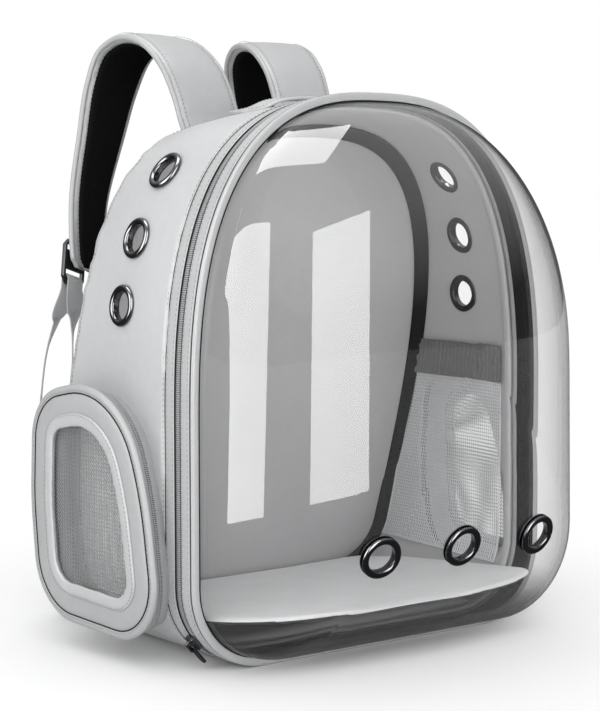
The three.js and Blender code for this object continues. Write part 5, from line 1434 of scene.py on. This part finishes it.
# Each strap's path as shares: out from the back, up, spread to the side, width and turn
STRAP_TABLE = [
    (-0.1, 0.33, 0, 0.92, 0), (0.1, 0.48, 0, 0.93, 0), (0.22, 0.6, 0.02, 0.94, 0),
    (0.29, 0.73, 0.04, 0.96, 0), (0.4, 0.865, 0.08, 0.98, 0.05), (0.58, 0.965, 0.14, 1, 0.15),
    (0.79, 0.99, 0.22, 1, 0.3), (0.94, 0.93, 0.32, 1, 0.4), (1, 0.79, 0.44, 0.97, 0.55),
    (0.99, 0.57, 0.62, 0.9, 0.75), (0.956, 0.33, 0.82, 0.82, 0.95), (0.903, 0.14, 0.93, 0.74, 1),
    (0.872, 0.03, 0.983, 0.62, 1), (0.864, 0, 1, 0.42, 1)]
STRAP_WIDTH, STRAP_THICKNESS, STRAP_TOP, STRAP_END, STRAP_TURN = 60, 9, 473, 278, 26


def path_state(points, turns, t):
    """Span, share of it, forward direction and level sideways direction at share t of a path."""
    spans = len(points) - 1
    k = min(int(t * spans), spans - 1)
    w = t * spans - k
    tangent = smooth_path(points, min(t + 1e-4, 1)) - smooth_path(points, max(t - 1e-4, 0))
    tangent /= np.linalg.norm(tangent)
    turn = math.radians(turns[k] + (turns[k + 1] - turns[k]) * w)
    return k, w, tangent, np.array([math.cos(turn), math.sin(turn), 0])


def squared_up(across, tangent):
    """A sideways direction made square to the path and of unit length."""
    across = across - tangent * (across @ tangent)
    return across / np.linalg.norm(across)


def ribbon_frames(points, widths, turns, shares):
    """Middle, sideways, face and forward directions along a smooth path."""
    out = []
    for t in shares:
        k, w, tangent, across = path_state(points, turns, t)
        across = squared_up(across, tangent)
        width = widths[k] + (widths[k + 1] - widths[k]) * w
        out.append((smooth_path(points, t), across, np.cross(across, tangent), tangent, width))
    return out


def strap_frames(shares):
    height = STRAP_TOP - STRAP_THICKNESS / 2 - STRAP_END
    points = [(46 + s * 66, 8 + o * 143, STRAP_END + u * height) for o, u, s, *_ in STRAP_TABLE]
    widths = [row[3] * STRAP_WIDTH for row in STRAP_TABLE]
    return ribbon_frames(points, widths, [-row[4] * STRAP_TURN for row in STRAP_TABLE], shares)


def ribbon(name, frames, section, material):
    """Body along frames; section gives (across share, face offset) points for a width."""
    rings = [[m + a * x + f * h for x, h in section(width)] for m, a, f, _, width in frames]
    return loft(name, rings, material, start=frames[0][0], end=frames[-1][0])


def padded_section(width):
    """Section of a strap's pad: full in the middle, thinner at its edges."""
    points = []
    half = width / 2 - 0.8
    for t in circle(40):
        x = signed_power(math.cos(t), 0.55) * half
        swell = 1 - 0.22 * abs(x / half) ** 2.5
        points.append((x, signed_power(math.sin(t), 0.5) * STRAP_THICKNESS / 2 * swell))
    return points


def tip_frame():
    """The strap's lower end: its middle, sideways, downward and rearward directions."""
    middle, across, face, tangent, _ = strap_frames([1.0])[0]
    face = face if face[1] > 0 else -face
    return middle, across, tangent, face


def build_straps():
    """Right strap's inflated pad, lining and piping with their left twins, then the stitches."""
    start = 0.085
    frames = strap_frames(np.linspace(start, 1, 90))
    inward = -1 if strap_frames([0.5])[0][2][2] > 0 else 1
    pad = ribbon("strap_pad_right_cover", frames, padded_section, STRAP_LEATHERETTE)
    plumped(pad, voxel=3.0, cap=0.9, held=lambda p: p.y < 45 and p.z < 400)
    lining_frames = strap_frames(np.linspace(start, 0.985, 90))

    def lining_section(width):
        half = width / 2 - 5.5
        low, high = STRAP_THICKNESS / 2 - 0.4, STRAP_THICKNESS / 2 + 1.9
        side = []
        for x in np.linspace(-half, half, 13):
            side.append((x, inward * (low + (high - low) * (1 - abs(x / half) ** 10) ** 0.4)))
        return side + [(half, inward * low), (-half, inward * low)]

    lining = ribbon("strap_lining_right_mesh", lining_frames, lining_section, STRAP_BLACK)
    pipings = []
    for edge, label in ((-1, "inner"), (1, "outer")):
        def tube(width):
            centre = edge * (width / 2 - 1.4)
            return [(centre + 1.9 * math.cos(t), 2.3 * math.sin(t)) for t in circle(14)]
        pipings.append(ribbon(f"strap_piping_right_{label}", frames, tube, EDGE_STRAP))
    twin = mirror_copy(pad, "strap_pad_left_cover")
    for item, side in ((pad, "right"), (twin, "left")):
        dress(item, "leatherette", f"strap_pad_{side}")
    dress_both(lining, "lining_cloth", "strap_lining")
    for piping in pipings:
        dress_both(piping, "leatherette")
    paths = []
    for sign in (-1, 1):
        for edge in (-1, 1):
            for face, depth in ((-inward, 4.0), (inward, 4.2)):
                line = [(m + a * edge * (w / 2 - 5.5) + f * face * depth) * np.array([sign, 1, 1])
                        for m, a, f, _, w in strap_frames(np.linspace(start, 0.97, 60))]
                paths.append((line, False))
    stitches("strap_stitches", paths, THREAD, "leatherette", pitch=3.6, length=2.6, radius=0.34)
    build_buckles()
    build_webbing()


EDGE_STRAP = leatherette_material("strap edge binding", linear(176, 177, 178), rough=(0.45, 0.6), depth=0.05)


def build_buckles():
    """Ladder-lock buckles, replaced by rounded copies of their solids."""
    for side in SIDES:
        node = f"strap_buckle_{side}"
        dress(cast_copy(node, node + "_moulded", BUCKLE_BLACK, 0.9, 3), "black_plastic", node)


ANCHOR_X, BACK_Y = 142, FLOOR_DEPTH / 2
# Aside from the anchor, behind the floor's back end, share of the strap tip's height, sideways turn
LOAD_STRAND = [(0, 13, 0.18, 0), (1, 26, 0.273, -25), (1, 37, 0.403, -50), (0, 42, 0.54, -60),
               (-2, 41, 0.655, -62), (-6, 38, 0.77, -60), (-13, 33, 0.856, -45)]
TAIL_STRAND = [(-22, 19, 0.878, -40), (-21, 22, 0.82, -62), (-20, 21, 0.748, -62), (-19, 20, 0.669, -55)]


def strand_rows(strand):
    return [((ANCHOR_X + aside, BACK_Y + behind, STRAP_END * up), turn) for aside, behind, up, turn in strand]


def build_webbing():
    """Webbing from the anchor up through the buckle and back down as a loose tail."""
    middle, across, down, face = tip_frame()
    seat, below = STRAP_THICKNESS / 2 + 0.9, 14
    half = 0.7 + GAP
    outer_face, inner_face, bar_top = seat + 3.4 + half, seat - half, below - 4.6
    local = [(below + 5, outer_face + 0.3), (bar_top + 1, outer_face + 0.3),
             (bar_top - 1.6, outer_face - 0.4), (bar_top - half - 2.4, (outer_face + inner_face) / 2),
             (bar_top - 1.6, inner_face + 0.4), (bar_top + 1, inner_face - 0.3),
             (below + 5, inner_face - 0.3)]
    rows = strand_rows(LOAD_STRAND)
    rows += [(middle + across * 7 + down * d + face * f, -STRAP_TURN) for d, f in local]
    rows += strand_rows(TAIL_STRAND)
    points = [np.asarray(p, float) for p, turn in rows]
    turns = [turn for p, turn in rows]
    first, last = len(LOAD_STRAND), len(LOAD_STRAND) + len(local) - 1
    frames, previous = [], None
    for t in np.linspace(0, 1, 150):
        k, _, tangent, level = path_state(points, turns, t)
        side = squared_up(across if first - 1 <= k <= last else level, tangent)
        if previous is not None:
            side = -side if side @ previous < 0 else side
            side = squared_up(previous * 0.6 + side * 0.4, tangent)
        previous = side
        frames.append((smooth_path(points, t), side, np.cross(side, tangent), tangent, 20))

    def section(width):
        edge = width / 2
        return [(-edge, -0.35), (-edge + 0.5, -0.7), (edge - 0.5, -0.7), (edge, -0.35),
                (edge, 0.35), (edge - 0.5, 0.7), (-edge + 0.5, 0.7), (-edge, 0.35)]

    strap = ribbon("webbing_right_weave", frames, section, WEBBING)
    smooth_by_angle(strap, 50)
    dress_both(strap, "webbing_cloth", "webbing")


def build_handle():
    """Carry handle that stands over the bag's top between the straps."""
    handle_y, half_length, rise = -27, 66, 8

    def surface(x):
        share = (handle_y - FRONT_Y) / TOP_DEPTH

        def top(form):
            part = 1 - min(abs(x) / (form["width"] / 2), 1) ** form["power"]
            return form["side_top"] + (form["height"] - form["side_top"]) * part ** (1 / form["power"])
        return top(FRONT) * (1 - share) + top(BACK) * share + SIDE_BULGE
    table = [(-1, 0), (-0.78, 0.06), (-0.5, 0.72), (0, 1), (0.5, 0.72), (0.78, 0.06), (1, 0)]
    points = [(a * half_length, handle_y, surface(a * half_length) + 1.7 + r * rise) for a, r in table]
    frames = ribbon_frames(points, [26] * 7, [90] * 7, np.linspace(0.0, 1, 60))

    def section(width):
        return [(signed_power(math.cos(t), 0.4) * width / 2, signed_power(math.sin(t), 0.6) * 1.6)
                for t in circle(28)]

    handle = ribbon("carry_handle_strap", frames, section, LEATHERETTE)
    dress(handle, "leatherette", "carry_handle")
    above = np.array([0, 0, 1.65])
    paths = [([m + a * e * 10 + above for m, a, *_ in frames[2:-2]], False) for e in (-1, 1)]
    stitches("handle_stitches", paths, THREAD, "leatherette", pitch=3.4, length=2.4, radius=0.3)


def polish_metal():
    """Sliders and pulls: rounded copies of their solids, each on its own body."""
    jobs = {"main_zip_slider": BODY, "main_zip_pull": "main_pull_body"}
    for side in SIDES:
        jobs[f"pocket_zip_{side}_slider"] = BODY
        jobs[f"pocket_zip_{side}_pull"] = f"{side}_pull_body"
    for node, body in jobs.items():
        dress(cast_copy(node, node + "_cast", GUNMETAL, 0.35, 2), "gunmetal", node, body=body)


# Bright cards that the bubble mirrors: upper left, upper right, lower right and lower left
# corners of each reflection in the photo, in its pixels
CARD_CORNERS = {
    "tall_card_left": ((234, 221), (271, 222), (264, 517), (231, 524)),
    "tall_card_right": ((313, 232), (370, 210), (369, 492), (310, 505)),
    "top_card": ((266, 137), (351, 125), (325, 163), (263, 168)),
}
CARD_DISTANCE, CARD_GLOW = 1.1, 11.5


def build_cards():
    """Curved cards, each set where the bubble's outer face throws the camera's rays."""
    glow, w, principled, place = start_material("card glow", Roughness=1.0)
    w.set(principled.inputs["Base Color"], (0, 0, 0, 1))
    fall = w.add("ShaderNodeTexNoise", {"Vector": place.outputs["Object"], "Scale": 2.0})
    w.set(principled.inputs["Emission Color"], w.blend(fall.outputs[0], (0.9, 0.9, 0.9, 1), (1, 1, 1, 1)))
    principled.inputs["Emission Strength"].default_value = CARD_GLOW
    camera = bpy.context.scene.camera.matrix_world
    surface = surface_of(bpy.data.objects["bubble_dome"])

    def thrown(px, py):
        ray = camera.to_3x3() @ Vector(((px - PHOTO_WIDTH / 2) / PHOTO_FOCAL,
                                        (PHOTO_HEIGHT / 2 - py) / PHOTO_FOCAL, -1))
        ray.normalize()
        hit = surface.ray_cast(camera.translation, ray)[0] / MM
        normal = dome_normal(hit.x, hit.z, 4)
        return hit + (ray - 2 * ray.dot(normal) * normal) * CARD_DISTANCE / MM

    for name, (first, second, third, fourth) in CARD_CORNERS.items():
        grid = []
        for t in np.linspace(0, 1, 31):
            left = Vector(first).lerp(Vector(fourth), t)
            right = Vector(second).lerp(Vector(third), t)
            grid.append([tuple(thrown(*left.lerp(right, s))) for s in np.linspace(0, 1, 9)])
        card = sheet_grid(name, grid, glow)
        card.visible_camera = card.visible_diffuse = card.visible_transmission = card.visible_shadow = False


def build_anchors():
    for side in SIDES:
        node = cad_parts[f"webbing_anchor_{side}"]
        node.data.materials.clear()
        node.data.materials.append(LEATHERETTE)


build_walls()
build_bands()
build_back_panel()
build_bubble()
build_floor()
build_side_nets()
build_pockets()
build_straps()
build_handle()
polish_metal()
build_anchors()
build_cards()
